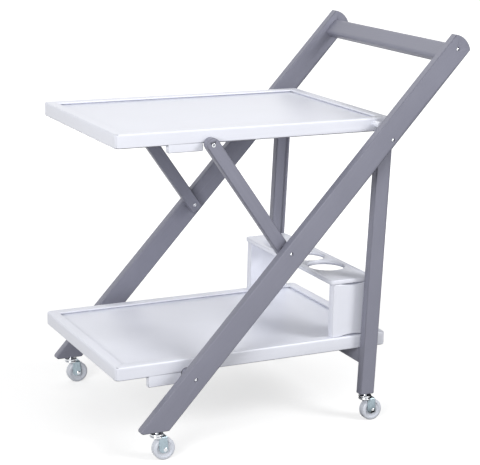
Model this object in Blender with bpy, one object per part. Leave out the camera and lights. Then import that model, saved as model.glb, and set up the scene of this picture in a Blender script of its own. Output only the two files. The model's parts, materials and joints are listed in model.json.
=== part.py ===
"""Folding serving trolley: crossed grey legs, two white trays, a bottle holder and four swivel casters.

X runs from the front of the trays to the handle, Y across the trolley and Z up from the floor, in metres.
Places along X are counted from the front end of the bottom tray, and world() centres them.
"""

import math

import bmesh
import bpy
from mathutils import Matrix, Vector

# Boards and the layers that they lie in, from the middle of the trolley outward
BOARD = 0.018
TRAY_WIDTH = 0.379
INNER_GAP = 0.0025
OUTER_GAP = 0.0075
SEAT_GAP = 0.0003
RUNNING_GAP = 0.0005

# Trays
TRAY_LENGTH = 0.5615
TOP_TRAY_LENGTH = 0.5525
TRAY_TOP = 0.1699
TOP_TRAY_TOP = 0.5925
RIM_HEIGHT = 0.0255
RIM_WIDTH = 0.021
RIM_CORNER = 0.008
RIM_EDGE = 0.0015
RIM_INNER_CHAMFER = 0.001
PANEL_DROP = 0.005
PANEL_THICK = 0.009
PANEL_TONGUE = 0.006
PANEL_REBATE = 0.002
CLEAT_LENGTH = 0.068
CLEAT_DEPTH = 0.0195
TOP_CLEAT_DEPTH = 0.0133
CLEAT_THICK = 0.011
CLEAT_EDGE = 0.001
CLEAT_TO_ROD = 0.0061
TOP_CLEAT_TO_ROD = 0.0110

# Rods that the trays hang on
ROD_DIAMETER = 0.008
ROD_DROP = 0.0004
ROD_FROM_FRONT = 0.1377
TOP_ROD_FROM_FRONT = 0.1775
ROD_BORE = 0.004
ROD_BORE_DEPTH = 0.012
SPACER_DIAMETER = 0.020

# Long legs with the handle
LEG_WIDTH = 0.044
LEG_ANGLE = math.radians(47.6)
LEG_SPAN = 0.780
LEG_END_RADIUS = 0.040
LEG_END_REACH = 0.024
FOOT_TIP_RADIUS = 0.004
CORNER_RADIUS = 0.002
BOARD_EDGE = 0.0015
HANDLE_HEIGHT = 0.038
HANDLE_THICK = 0.020
HANDLE_ROUND = 0.007
HANDLE_ABOVE_BOLT = 0.0065

# Rear legs
REAR_LEG_WIDTH = 0.030
REAR_LEG_LEAN = math.radians(2.0)
REAR_PIVOT_BELOW_TRAY = 0.0098
REAR_PIVOT_BEHIND_LINE = 0.0119
GROOVE_WIDTH = 0.006
GROOVE_DEPTH = 0.004
GROOVE_BEHIND_LINE = 0.007
GROOVE_BELOW_PIVOT = 0.045
CROSSBAR_HEIGHT = 0.0285
CROSSBAR_THICK = 0.018

# Braces
BRACE_WIDTH = 0.025
BRACE_TAIL = 0.0135
BRACE_PIVOT_ALONG_LEG = 0.2856
BRACE_PIVOT_AHEAD_OF_LINE = 0.0070

# Pins of the top tray, which lie on the rear legs' ends
PIN_DIAMETER = 0.012
PIN_AHEAD_OF_PIVOT = 0.0131
PIN_BELOW_TRAY_TOP = 0.0105
PIN_INSET = 0.010
PIN_SHORT_OF_BOARD = 0.001
PIN_EDGE = 0.0015

# Bolts
BOLT_HEAD = 0.008
BOLT_HEAD_HEIGHT = 0.0026
BOLT_HEAD_SUNK = 0.0008
BOLT_SHANK = 0.005
BOLT_GRIP = 0.013
SOCKET_WIDTH = 0.003
SOCKET_DEPTH = 0.0014
WASHER_DIAMETER = 0.024

# Bottle holder
HOLDER_DEPTH = 0.095
HOLDER_RISE = 0.1138
HOLDER_FROM_REAR = 0.028
HOLDER_INSET = 0.0045
HOLDER_BOARD = 0.0085
HOLDER_CORNER = 0.008
HOLDER_EDGE = 0.001
HOLDER_SIDE = 0.018
SIDE_SET_BACK = 0.0065
SIDE_REAR_SET_BACK = 0.002
SIDE_FOOT = 0.016
SIDE_ARCH = 0.0035
BOTTLE_HOLE = 0.076
BOTTLE_WEB = 0.004

# Casters
WHEEL_DIAMETER = 0.042
WHEEL_WIDTH = 0.017
WHEEL_ROUND = 0.0035
WHEEL_RECESS = 0.0015
HUB_DIAMETER = 0.014
RECESS_DIAMETER = 0.030
TRAIL = 0.013
AXLE_DIAMETER = 0.005
RIVET_DIAMETER = 0.0075
RIVET_HEIGHT = 0.0013
CHEEK_THICK = 0.0018
CHEEK_GAP = 0.001
CHEEK_END_RADIUS = 0.0055
CHEEK_FRONT_RADIUS = 0.008
CHEEK_SET_BACK = 0.001
CHEEK_REAR = 0.016
CROWN_CLEARANCE = 0.0016
CROWN_THICK = 0.003
NOSE_DIAMETER = 0.025
NOSE_ROUND = 0.001
RACE_DIAMETER = 0.019
RACE_HEIGHT = 0.0019
CUP_DIAMETER = 0.025
CUP_HEIGHT = 0.0028
CUP_ROUND = 0.001
NECK_DIAMETER = 0.010
NECK_HEIGHT = 0.0029
POST_DIAMETER = 0.006
STEM_DIAMETER = 0.008
STEM_LENGTH = 0.022
FRONT_STEM_BACK = 0.0085

# How finely round shapes are divided, and how far a cutter runs past what it cuts
ROUND_STEPS = 24
SMALL_STEPS = 14
FILLET_STEPS = 2
ARC_STEPS = 8
EDGE_STEPS = 2
SMOOTH_ANGLE = math.radians(35)
OVERRUN = 0.002
SIDES = {"left": -1, "right": 1}

# Layers, worked out from the middle outward
tray_half = TRAY_WIDTH / 2
mid_inner = tray_half + INNER_GAP
mid_outer = mid_inner + BOARD
leg_inner = mid_outer + OUTER_GAP
leg_outer = leg_inner + BOARD
mid_centre = (mid_inner + mid_outer) / 2
leg_centre = (leg_inner + leg_outer) / 2

# Heights of the caster, from the floor up
wheel_radius = WHEEL_DIAMETER / 2
crown_low = WHEEL_DIAMETER + CROWN_CLEARANCE
crown_top = crown_low + CROWN_THICK
race_top = crown_top + RACE_HEIGHT
cup_low = race_top + SEAT_GAP
cup_top = cup_low + CUP_HEIGHT
foot_height = cup_top + NECK_HEIGHT

# Directions along the long leg, up it and out of its rear edge
along = Vector((math.cos(LEG_ANGLE), math.sin(LEG_ANGLE)))
behind = Vector((math.sin(LEG_ANGLE), -math.cos(LEG_ANGLE)))

# Pivots as places in X and Z
tray_under = TRAY_TOP - RIM_HEIGHT
top_tray_under = TOP_TRAY_TOP - RIM_HEIGHT
rod_low = Vector((ROD_FROM_FRONT, tray_under - ROD_DROP))
rod_high = Vector((TOP_ROD_FROM_FRONT, top_tray_under - ROD_DROP))
handle_bolt = rod_low + along * LEG_SPAN
brace_pivot = rod_low + along * BRACE_PIVOT_ALONG_LEG - behind * BRACE_PIVOT_AHEAD_OF_LINE
rear_pivot_height = top_tray_under - REAR_PIVOT_BELOW_TRAY
rear_pivot_rise = rear_pivot_height - rod_low.y - behind.y * REAR_PIVOT_BEHIND_LINE
rear_pivot = rod_low + along * (rear_pivot_rise / along.y) + behind * REAR_PIVOT_BEHIND_LINE
pin_place = Vector((rear_pivot.x - PIN_AHEAD_OF_PIVOT, TOP_TRAY_TOP - PIN_BELOW_TRAY_TOP))

# Directions along the rear leg and the brace, with the direction across each
rear_up = Vector((math.sin(REAR_LEG_LEAN), math.cos(REAR_LEG_LEAN)))
rear_back = Vector((rear_up.y, -rear_up.x))
brace_up = (rod_high - brace_pivot).normalized()
brace_back = Vector((brace_up.y, -brace_up.x))
rear_foot_x = rear_pivot.x - (rear_pivot.y - foot_height) * math.tan(REAR_LEG_LEAN)
front_stem_x = rod_low.x - (rod_low.y - foot_height) / math.tan(LEG_ANGLE) + FRONT_STEM_BACK

COLORS = {
    "grey_paint": ((0.285, 0.285, 0.340, 1), 0.55, 0),
    "white_paint": ((0.780, 0.785, 0.850, 1), 0.45, 0),
    "zinc": ((0.620, 0.640, 0.670, 1), 0.25, 1),
    "dark_zinc": ((0.330, 0.400, 0.450, 1), 0.35, 1),
    "black_plastic": ((0.030, 0.030, 0.035, 1), 0.6, 0),
    "clear_plastic": ((0.640, 0.660, 0.740, 1), 0.3, 0),
}


def clear_scene():
    for thing in list(bpy.data.objects):
        bpy.data.objects.remove(thing, do_unlink=True)


def material(name):
    """The node's own Principled material in one of the finishes above."""
    color, roughness, metallic = COLORS[name]
    made = bpy.data.materials.new(name)
    made.use_nodes = True
    shader = made.node_tree.nodes["Principled BSDF"]
    shader.inputs["Base Color"].default_value = color
    shader.inputs["Roughness"].default_value = roughness
    shader.inputs["Metallic"].default_value = metallic
    return made


def world(place, y):
    """A place in X and Z, with its Y, as a point."""
    return Vector((place.x - middle_x, y, place.y))


def pivot(name, point, parent=None):
    """An empty on a joint's axis."""
    empty = bpy.data.objects.new(name, None)
    bpy.context.scene.collection.objects.link(empty)
    if parent:
        empty.parent = parent
    empty.location = point - total_location(parent)
    return empty


def total_location(thing):
    """The place of an empty that is only moved, never turned."""
    total = Vector((0, 0, 0))
    while thing:
        total = total + thing.location
        thing = thing.parent
    return total


def place_mesh(name, build, point, parent, finish):
    """An object from a bmesh that is built around its own origin, placed at a point of the trolley."""
    mesh = bpy.data.meshes.new(name)
    build.to_mesh(mesh)
    build.free()
    mesh.shade_smooth()
    mesh.set_sharp_from_angle(angle=SMOOTH_ANGLE)
    thing = bpy.data.objects.new(name, mesh)
    bpy.context.scene.collection.objects.link(thing)
    if parent:
        thing.parent = parent
    thing.location = point - total_location(parent)
    if finish:
        mesh.materials.append(material(finish))
    return thing


def rounded(corners, steps=FILLET_STEPS):
    """A closed outline from (point, radius) corners, each with its own fillet."""
    points = []
    count = len(corners)
    for index, (corner, radius) in enumerate(corners):
        before = (corners[index - 1][0] - corner).normalized()
        after = (corners[(index + 1) % count][0] - corner).normalized()
        if radius == 0:
            points.append(corner)
            continue
        half = before.angle(after) / 2
        centre = corner + (before + after).normalized() * (radius / math.sin(half))
        start = corner + before * (radius / math.tan(half)) - centre
        turn = start.angle_signed(corner + after * (radius / math.tan(half)) - centre)
        for step in range(steps + 1):
            swing = Matrix.Rotation(-turn * step / steps, 2)
            points.append(centre + swing @ start)
    return points


def plate(outline, thickness, edge=0.0):
    """A board: an outline in X and Z, thick along Y about the origin, with its long edges eased."""
    build = bmesh.new()
    half = thickness / 2
    near = [build.verts.new((point.x, -half, point.y)) for point in outline]
    far = [build.verts.new((point.x, half, point.y)) for point in outline]
    build.faces.new(near)
    build.faces.new(far[::-1])
    for index in range(len(outline)):
        after = (index + 1) % len(outline)
        build.faces.new((near[after], near[index], far[index], far[after]))
    bmesh.ops.recalc_face_normals(build, faces=build.faces)
    if edge:
        rim = [e for e in build.edges if abs(e.verts[0].co.y - e.verts[1].co.y) < half]
        bmesh.ops.bevel(build, geom=rim, offset=edge, segments=EDGE_STEPS, affect="EDGES")
    return build


def slab(length, width, height, corner, edge):
    """A level board about the origin, with round corners and eased edges."""
    signs = ((-1, -1), (1, -1), (1, 1), (-1, 1))
    outline = rounded([(Vector((x * length / 2, y * width / 2)), corner) for x, y in signs])
    build = plate(outline, height, edge)
    bmesh.ops.rotate(build, verts=build.verts, matrix=Matrix.Rotation(math.pi / 2, 3, "X"))
    return build


def turned(profile, steps=SMALL_STEPS):
    """A round piece about Z from (radius, height) points that run from the top of the axis to its foot."""
    build = bmesh.new()
    rings = []
    for radius, height in profile:
        if radius == 0:
            rings.append([build.verts.new((0, 0, height))])
            continue
        turns = [2 * math.pi * step / steps for step in range(steps)]
        places = [(radius * math.cos(turn), radius * math.sin(turn), height) for turn in turns]
        rings.append([build.verts.new(place) for place in places])
    for upper, lower in zip(rings, rings[1:] + rings[:1]):
        if len(upper) == 1 and len(lower) == 1:
            continue
        for step in range(steps):
            after = (step + 1) % steps
            ring = [upper[step % len(upper)], lower[step % len(lower)]]
            ring += [lower[after % len(lower)], upper[after % len(upper)]]
            build.faces.new(list(dict.fromkeys(ring)))
    bmesh.ops.recalc_face_normals(build, faces=build.faces)
    return build


def rod_profile(radius, low, high):
    return [(0, high), (radius, high), (radius, low), (0, low)]


def across(build, side=1):
    """Lays a piece that was turned about Z along Y, with its top outward on the named side."""
    bmesh.ops.rotate(build, verts=build.verts, matrix=Matrix.Rotation(-side * math.pi / 2, 3, "X"))
    return build


def block(size, edge=0.0):
    build = bmesh.new()
    bmesh.ops.create_cube(build, size=1)
    bmesh.ops.scale(build, vec=size, verts=build.verts)
    if edge:
        bmesh.ops.bevel(build, geom=build.edges, offset=edge, segments=EDGE_STEPS, affect="EDGES")
    return build


def boolean(thing, build, point, operation="DIFFERENCE"):
    """Cuts an object with, or trims it to, a hidden shape placed at a point of the trolley."""
    cutter = place_mesh(f"{thing.name}_cutter", build, point, thing.parent, None)
    cutter.hide_render = True
    cutter.display_type = "WIRE"
    modifier = thing.modifiers.new(operation.lower(), "BOOLEAN")
    modifier.operation = operation
    modifier.object = cutter
    return thing


def drill(thing, diameter, place, y_start, y_end):
    """A round hole along Y between two places across the trolley."""
    half = abs(y_end - y_start) / 2
    build = across(turned(rod_profile(diameter / 2, -half, half)))
    return boolean(thing, build, world(place, (y_start + y_end) / 2))


def long_leg_outline():
    """The long leg: its foot cut level, its upper end a wide arc, as places about the lower rod."""
    half = LEG_WIDTH / 2
    drop = rod_low.y - foot_height
    tip = -behind * half - along * ((drop - behind.y * half) / along.y)
    heel = behind * half - along * ((drop + behind.y * half) / along.y)
    arc_centre = along * (LEG_SPAN + LEG_END_REACH - LEG_END_RADIUS)
    spread = math.asin(half / LEG_END_RADIUS)
    corners = [(tip, FOOT_TIP_RADIUS), (heel, CORNER_RADIUS)]
    for step in range(ARC_STEPS + 1):
        angle = spread * (1 - 2 * step / ARC_STEPS)
        point = arc_centre + (along * math.cos(angle) + behind * math.sin(angle)) * LEG_END_RADIUS
        corners.append((point, CORNER_RADIUS if step in (0, ARC_STEPS) else 0))
    return rounded(corners)


def rear_end_centre():
    """The centre of the rear leg's round upper end, so far up that the tray's pin lies on it."""
    reach = REAR_LEG_WIDTH / 2 + PIN_DIAMETER / 2 + SEAT_GAP
    away = pin_place - rear_pivot
    aside = away.dot(rear_back)
    return rear_up * (away.dot(rear_up) - math.sqrt(reach * reach - aside * aside))


def rear_leg_outline():
    """The rear leg, as places about its pivot."""
    half = REAR_LEG_WIDTH / 2
    drop = rear_pivot.y - foot_height
    heel = rear_back * half - rear_up * ((drop + rear_back.y * half) / rear_up.y)
    toe = -rear_back * half - rear_up * ((drop - rear_back.y * half) / rear_up.y)
    centre = rear_end_centre()
    corners = [(toe, CORNER_RADIUS), (heel, CORNER_RADIUS)]
    for step in range(ARC_STEPS + 1):
        angle = math.pi * step / ARC_STEPS
        corners.append((centre + (rear_back * math.cos(angle) + rear_up * math.sin(angle)) * half, 0))
    return rounded(corners)


def brace_outline():
    """The brace: a square lower end and a round upper one, as places about its lower pivot."""
    half = BRACE_WIDTH / 2
    length = (rod_high - brace_pivot).length
    low = -brace_up * BRACE_TAIL
    corners = [(low - brace_back * half, CORNER_RADIUS), (low + brace_back * half, CORNER_RADIUS)]
    for step in range(ARC_STEPS + 1):
        angle = math.pi * step / ARC_STEPS
        spoke = brace_back * math.cos(angle) + brace_up * math.sin(angle)
        corners.append((brace_up * length + spoke * half, 0))
    return rounded(corners)


leg_outline = long_leg_outline()
middle_x = (rod_low.x + max(point.x for point in leg_outline)) / 2
shank_bore = BOLT_SHANK + 2 * SEAT_GAP
head_bore = BOLT_HEAD + 2 * SEAT_GAP
head_seat = BOLT_HEAD_SUNK + BOLT_HEAD_HEIGHT + SEAT_GAP
rod_bore = ROD_DIAMETER + 2 * SEAT_GAP
stem_bore = STEM_DIAMETER + 2 * SEAT_GAP


def bolt(name, place, side, parent):
    """A socket-head bolt from the outer face of the long leg, through it and on into the piece behind."""
    length = leg_outer - leg_inner + OUTER_GAP + BOLT_GRIP - BOLT_HEAD_SUNK
    profile = [(0, -SOCKET_DEPTH), (SOCKET_WIDTH / 2, -SOCKET_DEPTH), (SOCKET_WIDTH / 2, 0)]
    profile += [(BOLT_HEAD / 2 - BOLT_HEAD_SUNK, 0), (BOLT_HEAD / 2, -BOLT_HEAD_SUNK)]
    profile += [(BOLT_HEAD / 2, -BOLT_HEAD_HEIGHT), (BOLT_SHANK / 2, -BOLT_HEAD_HEIGHT)]
    profile += [(BOLT_SHANK / 2, -length), (0, -length)]
    point = world(place, side * (leg_outer - BOLT_HEAD_SUNK))
    return place_mesh(name, across(turned(profile), side), point, parent, "zinc")


def ring(outer, bore, low, high):
    return turned([(bore / 2, high), (outer / 2, high), (outer / 2, low), (bore / 2, low)], ROUND_STEPS)


def bolt_hole(leg, place, side):
    """The stepped hole for a bolt through a long leg."""
    profile = [(0, OVERRUN), (head_bore / 2, OVERRUN), (head_bore / 2, -head_seat)]
    profile += [(shank_bore / 2, -head_seat), (shank_bore / 2, -BOARD - OVERRUN), (0, -BOARD - OVERRUN)]
    boolean(leg, across(turned(profile), side), world(place, side * leg_outer))


def make_long_frame():
    """The two long legs with the handle bar, the lower rod, the bolts, washers and spacers."""
    bolt_depth = leg_inner - OUTER_GAP - BOLT_GRIP - SEAT_GAP
    for side_name, side in SIDES.items():
        board = plate(leg_outline, BOARD, BOARD_EDGE)
        point = world(rod_low, side * leg_centre)
        leg = place_mesh(f"long_leg_{side_name}", board, point, None, "grey_paint")
        for place in (handle_bolt, rear_pivot, brace_pivot, rod_low):
            bolt_hole(leg, place, side)
        stem_hole(leg, front_stem_x, side * leg_centre)
        bolt(f"handle_bolt_{side_name}", handle_bolt, side, None)
        bolt(f"rear_pivot_bolt_{side_name}", rear_pivot, side, None)
        bolt(f"brace_pivot_bolt_{side_name}", brace_pivot, side, None)
        bolt(f"rod_bolt_{side_name}", rod_low, side, None)
        for name, place in (("rear_pivot", rear_pivot), ("brace_pivot", brace_pivot)):
            half = OUTER_GAP / 2 - SEAT_GAP
            washer = across(ring(WASHER_DIAMETER, shank_bore, -half, half))
            point = world(place, side * (mid_outer + leg_inner) / 2)
            place_mesh(f"{name}_washer_{side_name}", washer, point, None, "black_plastic")
        spacer_half = (leg_inner - SEAT_GAP - tray_half - RUNNING_GAP) / 2
        spacer = across(ring(SPACER_DIAMETER, rod_bore, -spacer_half, spacer_half))
        point = world(rod_low, side * (leg_inner - SEAT_GAP - spacer_half))
        place_mesh(f"rod_spacer_{side_name}", spacer, point, None, "grey_paint")
    half_rod = leg_inner - SEAT_GAP
    rod = across(turned(rod_profile(ROD_DIAMETER / 2, -half_rod, half_rod)))
    rod = place_mesh("lower_rod", rod, world(rod_low, 0), None, "zinc")
    bar = plate(handle_outline(), 2 * half_rod)
    bar = place_mesh("handle_bar", bar, world(handle_bolt, 0), None, "grey_paint")
    for side in SIDES.values():
        drill(bar, shank_bore, handle_bolt, side * bolt_depth, side * (leg_inner + OVERRUN))
        drill(rod, shank_bore, rod_low, side * bolt_depth, side * (leg_inner + OVERRUN))


def handle_outline():
    """The rounded section of the handle bar, as places about the bolt."""
    top = HANDLE_ABOVE_BOLT
    low = HANDLE_ABOVE_BOLT - HANDLE_HEIGHT
    half = HANDLE_THICK / 2
    places = [(low, half), (top, half), (top, -half), (low, -half)]
    return rounded([(along * up + behind * back, HANDLE_ROUND) for up, back in places])


def stem_hole(leg, x, y):
    """The hole in a foot for a caster's stem."""
    build = turned(rod_profile(stem_bore / 2, foot_height - OVERRUN, foot_height + STEM_LENGTH + SEAT_GAP))
    return boolean(leg, build, Vector((x - middle_x, y, 0)))


def make_rear_frame(swing):
    """The rear legs and the crossbar that the bottom tray rests on."""
    for side_name, side in SIDES.items():
        board = plate(rear_leg_outline(), BOARD, BOARD_EDGE)
        point = world(rear_pivot, side * mid_centre)
        leg = place_mesh(f"rear_leg_{side_name}", board, point, swing, "grey_paint")
        bolt_end = side * (mid_outer - BOLT_GRIP - SEAT_GAP)
        drill(leg, shank_bore, rear_pivot, bolt_end, side * (mid_outer + OVERRUN))
        stem_hole(leg, rear_foot_x, side * mid_centre)
        groove = plate(groove_outline(), 2 * GROOVE_DEPTH)
        boolean(leg, groove, world(rear_pivot, side * mid_inner))
    height = CROSSBAR_HEIGHT
    size = (CROSSBAR_THICK, 2 * (mid_inner - SEAT_GAP), height)
    centre_z = tray_under - SEAT_GAP - height / 2
    front = rear_pivot.x - (rear_pivot.y - centre_z) * math.tan(REAR_LEG_LEAN) - REAR_LEG_WIDTH / 2
    place = Vector((front + CROSSBAR_THICK / 2, centre_z))
    place_mesh("crossbar", block(size, BOARD_EDGE), world(place, 0), swing, "grey_paint")


def groove_outline():
    """The groove down the inner face of a rear leg, from below the pivot past the foot."""
    near = rear_back * (GROOVE_BEHIND_LINE - GROOVE_WIDTH / 2)
    far = rear_back * (GROOVE_BEHIND_LINE + GROOVE_WIDTH / 2)
    top = -rear_up * GROOVE_BELOW_PIVOT
    low = -rear_up * rear_pivot.y
    return [near + low, far + low, far + top, near + top]


def make_braces(swing):
    """The two braces and the rod through their heads."""
    for side_name, side in SIDES.items():
        board = plate(brace_outline(), BOARD, BOARD_EDGE)
        point = world(brace_pivot, side * mid_centre)
        brace = place_mesh(f"brace_{side_name}", board, point, swing, "grey_paint")
        bolt_end = side * (mid_outer - BOLT_GRIP - SEAT_GAP)
        drill(brace, shank_bore, brace_pivot, bolt_end, side * (mid_outer + OVERRUN))
        drill(brace, rod_bore, rod_high, side * (mid_inner - OVERRUN), side * (mid_outer + OVERRUN))
    half = mid_outer
    deep = half - ROD_BORE_DEPTH
    profile = [(0, deep), (ROD_BORE / 2, deep), (ROD_BORE / 2, half), (ROD_DIAMETER / 2, half)]
    profile += [(ROD_DIAMETER / 2, -half), (ROD_BORE / 2, -half), (ROD_BORE / 2, -deep), (0, -deep)]
    place_mesh("upper_rod", across(turned(profile)), world(rod_high, 0), swing, "zinc")


def rim_profile(top):
    """The rim's section as (inward, height) points, with the groove for the panel, over-size outside."""
    groove_top = top - PANEL_DROP - PANEL_REBATE
    groove_low = top - PANEL_DROP - PANEL_THICK - 2 * SEAT_GAP
    tongue = RIM_WIDTH - PANEL_TONGUE - SEAT_GAP
    low = top - RIM_HEIGHT - OVERRUN
    points = [(-OVERRUN, low), (RIM_WIDTH, low), (RIM_WIDTH, groove_low), (tongue, groove_low)]
    points += [(tongue, groove_top), (RIM_WIDTH, groove_top), (RIM_WIDTH, top - RIM_INNER_CHAMFER)]
    points += [(RIM_WIDTH - RIM_INNER_CHAMFER, top), (RIM_WIDTH - RIM_INNER_CHAMFER, top + OVERRUN)]
    return points + [(-OVERRUN, top + OVERRUN)]


def mitred(profile, half_length, half_width, turn):
    """A rim along one side of a tray, mitred at both ends, turned about the tray's middle."""
    build = bmesh.new()
    ends = []
    for end in (-1, 1):
        loop = []
        for inward, height in profile:
            along_rim = end * (half_length - inward - SEAT_GAP)
            loop.append(build.verts.new((along_rim, inward - half_width, height)))
        ends.append(loop)
    start, stop = ends
    build.faces.new(start)
    build.faces.new(stop[::-1])
    for index in range(len(profile)):
        after = (index + 1) % len(profile)
        build.faces.new((start[after], start[index], stop[index], stop[after]))
    bmesh.ops.recalc_face_normals(build, faces=build.faces)
    bmesh.ops.rotate(build, verts=build.verts, matrix=Matrix.Rotation(turn, 3, "Z"))
    return build


def envelope(length, width, top):
    """The outer shape of a whole tray, with round corners and eased edges, about its middle."""
    build = slab(length, width, RIM_HEIGHT, RIM_CORNER, RIM_EDGE)
    bmesh.ops.translate(build, verts=build.verts, vec=(0, 0, top - RIM_HEIGHT / 2))
    return build


def rebated(length, width):
    """A tray's panel about its middle, cut down round its upper edge to a tongue for the rims' groove."""
    build = bmesh.new()
    edge = Vector((length / 2, width / 2))
    field = edge - Vector((PANEL_TONGUE + SEAT_GAP, PANEL_TONGUE + SEAT_GAP))
    face = PANEL_THICK / 2
    tongue = face - PANEL_REBATE
    loops = []
    for half, height in ((edge, -face), (edge, tongue), (field, tongue), (field, face)):
        corners = [(-half.x, -half.y), (half.x, -half.y), (half.x, half.y), (-half.x, half.y)]
        loops.append([build.verts.new((x, y, height)) for x, y in corners])
    for lower, upper in zip(loops, loops[1:]):
        for index in range(len(lower)):
            before = index - 1
            build.faces.new((lower[before], lower[index], upper[index], upper[before]))
    build.faces.new(loops[0][::-1])
    build.faces.new(loops[-1])
    return build


def make_tray(name, length, top, rod, cleat_to_rod, cleat_depth, swing):
    """A tray: four mitred rims round a sunk panel, and two cleats under its sides."""
    centre = Vector((length / 2 - middle_x, 0, 0))
    profile = rim_profile(top)
    rims = {}
    turns = {"left": 0, "rear": 1, "right": 2, "front": 3}
    for rim_name, quarters in turns.items():
        spans = (length / 2, tray_half) if quarters % 2 == 0 else (tray_half, length / 2)
        build = mitred(profile, *spans, quarters * math.pi / 2)
        rim = place_mesh(f"{name}_rim_{rim_name}", build, centre, swing, "white_paint")
        boolean(rim, envelope(length, TRAY_WIDTH, top), centre, "INTERSECT")
        rims[rim_name] = rim
    panel_length = length - 2 * (RIM_WIDTH - PANEL_TONGUE)
    panel_width = TRAY_WIDTH - 2 * (RIM_WIDTH - PANEL_TONGUE)
    panel_centre = top - PANEL_DROP - SEAT_GAP - PANEL_THICK / 2
    panel = rebated(panel_length, panel_width)
    place_mesh(f"{name}_panel", panel, centre + Vector((0, 0, panel_centre)), swing, "white_paint")
    for side_name, side in SIDES.items():
        bore_start = side * (tray_half - RIM_WIDTH - OVERRUN)
        drill(rims[side_name], rod_bore, rod, bore_start, side * (tray_half + OVERRUN))
        x = rod.x - cleat_to_rod - CLEAT_LENGTH / 2
        z = top - RIM_HEIGHT - SEAT_GAP - cleat_depth / 2
        cleat = block((CLEAT_LENGTH, CLEAT_THICK, cleat_depth), CLEAT_EDGE)
        point = Vector((x - middle_x, side * (tray_half - CLEAT_THICK / 2), z))
        place_mesh(f"{name}_cleat_{side_name}", cleat, point, swing, "white_paint")
    return rims


def make_pins(rims, swing):
    """The pins at the rear of the top tray, which lie on the round ends of the rear legs."""
    inner = tray_half - PIN_INSET
    outer = mid_outer - PIN_SHORT_OF_BOARD
    for side_name, side in SIDES.items():
        bore = PIN_DIAMETER + 2 * SEAT_GAP
        drill(rims[side_name], bore, pin_place, side * (inner - SEAT_GAP), side * (tray_half + OVERRUN))
        half = (outer - inner) / 2
        radius = PIN_DIAMETER / 2
        profile = [(0, half), (radius - PIN_EDGE, half), (radius, half - PIN_EDGE)]
        profile += [(radius, -half), (0, -half)]
        point = world(pin_place, side * (inner + half))
        place_mesh(f"top_tray_pin_{side_name}", across(turned(profile), side), point, swing, "white_paint")


def arched(width, height):
    """A holder side: a rectangle whose upper and lower edges rise clear between their two ends."""
    half = width / 2
    span = half - SIDE_FOOT
    points = [Vector((-half, 0)), Vector((-span, 0))]
    low_arc = []
    for step in range(1, ARC_STEPS):
        share = 2 * step / ARC_STEPS - 1
        low_arc.append((span * share, SIDE_ARCH * (1 - share * share)))
    points += [Vector((x, rise)) for x, rise in low_arc]
    points += [Vector((span, 0)), Vector((half, 0)), Vector((half, height)), Vector((span, height))]
    points += [Vector((-x, height - rise)) for x, rise in low_arc]
    return points + [Vector((-span, height)), Vector((-half, height))]


def make_holder(slide):
    """The bottle holder: a board with three round holes on two sides that stand on the rims."""
    half_width = tray_half - HOLDER_INSET
    rear = TRAY_LENGTH - HOLDER_FROM_REAR
    front = rear - HOLDER_DEPTH
    board_low = TRAY_TOP + HOLDER_RISE - HOLDER_BOARD
    half_depth = HOLDER_DEPTH / 2
    board = slab(HOLDER_DEPTH, 2 * half_width, HOLDER_BOARD, HOLDER_CORNER, HOLDER_EDGE)
    point = Vector((front + half_depth - middle_x, 0, board_low + HOLDER_BOARD / 2))
    board = place_mesh("holder_board", board, point, slide, "white_paint")
    for step in (-1, 0, 1):
        hole = turned(rod_profile(BOTTLE_HOLE / 2, -HOLDER_BOARD, HOLDER_BOARD), ROUND_STEPS)
        boolean(board, hole, point + Vector((0, step * (BOTTLE_HOLE + BOTTLE_WEB), 0)))
    side_width = HOLDER_DEPTH - SIDE_SET_BACK - SIDE_REAR_SET_BACK
    side_height = board_low - TRAY_TOP - 2 * SEAT_GAP
    for side_name, side in SIDES.items():
        build = plate(arched(side_width, side_height), HOLDER_SIDE, HOLDER_EDGE)
        x = front + SIDE_SET_BACK + side_width / 2
        point = Vector((x - middle_x, side * (half_width - HOLDER_SIDE / 2), TRAY_TOP + SEAT_GAP))
        place_mesh(f"holder_side_{side_name}", build, point, slide, "white_paint")


def wheel_profile():
    """The wheel's section about its axle, from the outer edge of one face round to the other."""
    half = WHEEL_WIDTH / 2
    bore = AXLE_DIAMETER / 2 + SEAT_GAP
    edge = wheel_radius - WHEEL_ROUND
    points = [(bore, half), (HUB_DIAMETER / 2, half), (HUB_DIAMETER / 2, half - WHEEL_RECESS)]
    points += [(RECESS_DIAMETER / 2, half - WHEEL_RECESS), (RECESS_DIAMETER / 2, half)]
    for step in range(FILLET_STEPS + 1):
        angle = math.pi / 2 * step / FILLET_STEPS
        points.append((edge + WHEEL_ROUND * math.sin(angle), half - WHEEL_ROUND * (1 - math.cos(angle))))
    return points + [(radius, -height) for radius, height in points[::-1]]


def cheek_outline():
    """A cheek of the fork, from the crown down round the axle, as places about the stem's axis on the floor."""
    low = wheel_radius - CHEEK_END_RADIUS
    corners = [
        (Vector((CHEEK_SET_BACK, crown_top)), 0),
        (Vector((CHEEK_SET_BACK, low)), CHEEK_FRONT_RADIUS),
        (Vector((TRAIL + CHEEK_END_RADIUS, low)), CHEEK_END_RADIUS),
        (Vector((CHEEK_REAR, crown_top)), 0),
    ]
    return rounded(corners, ARC_STEPS)


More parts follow.
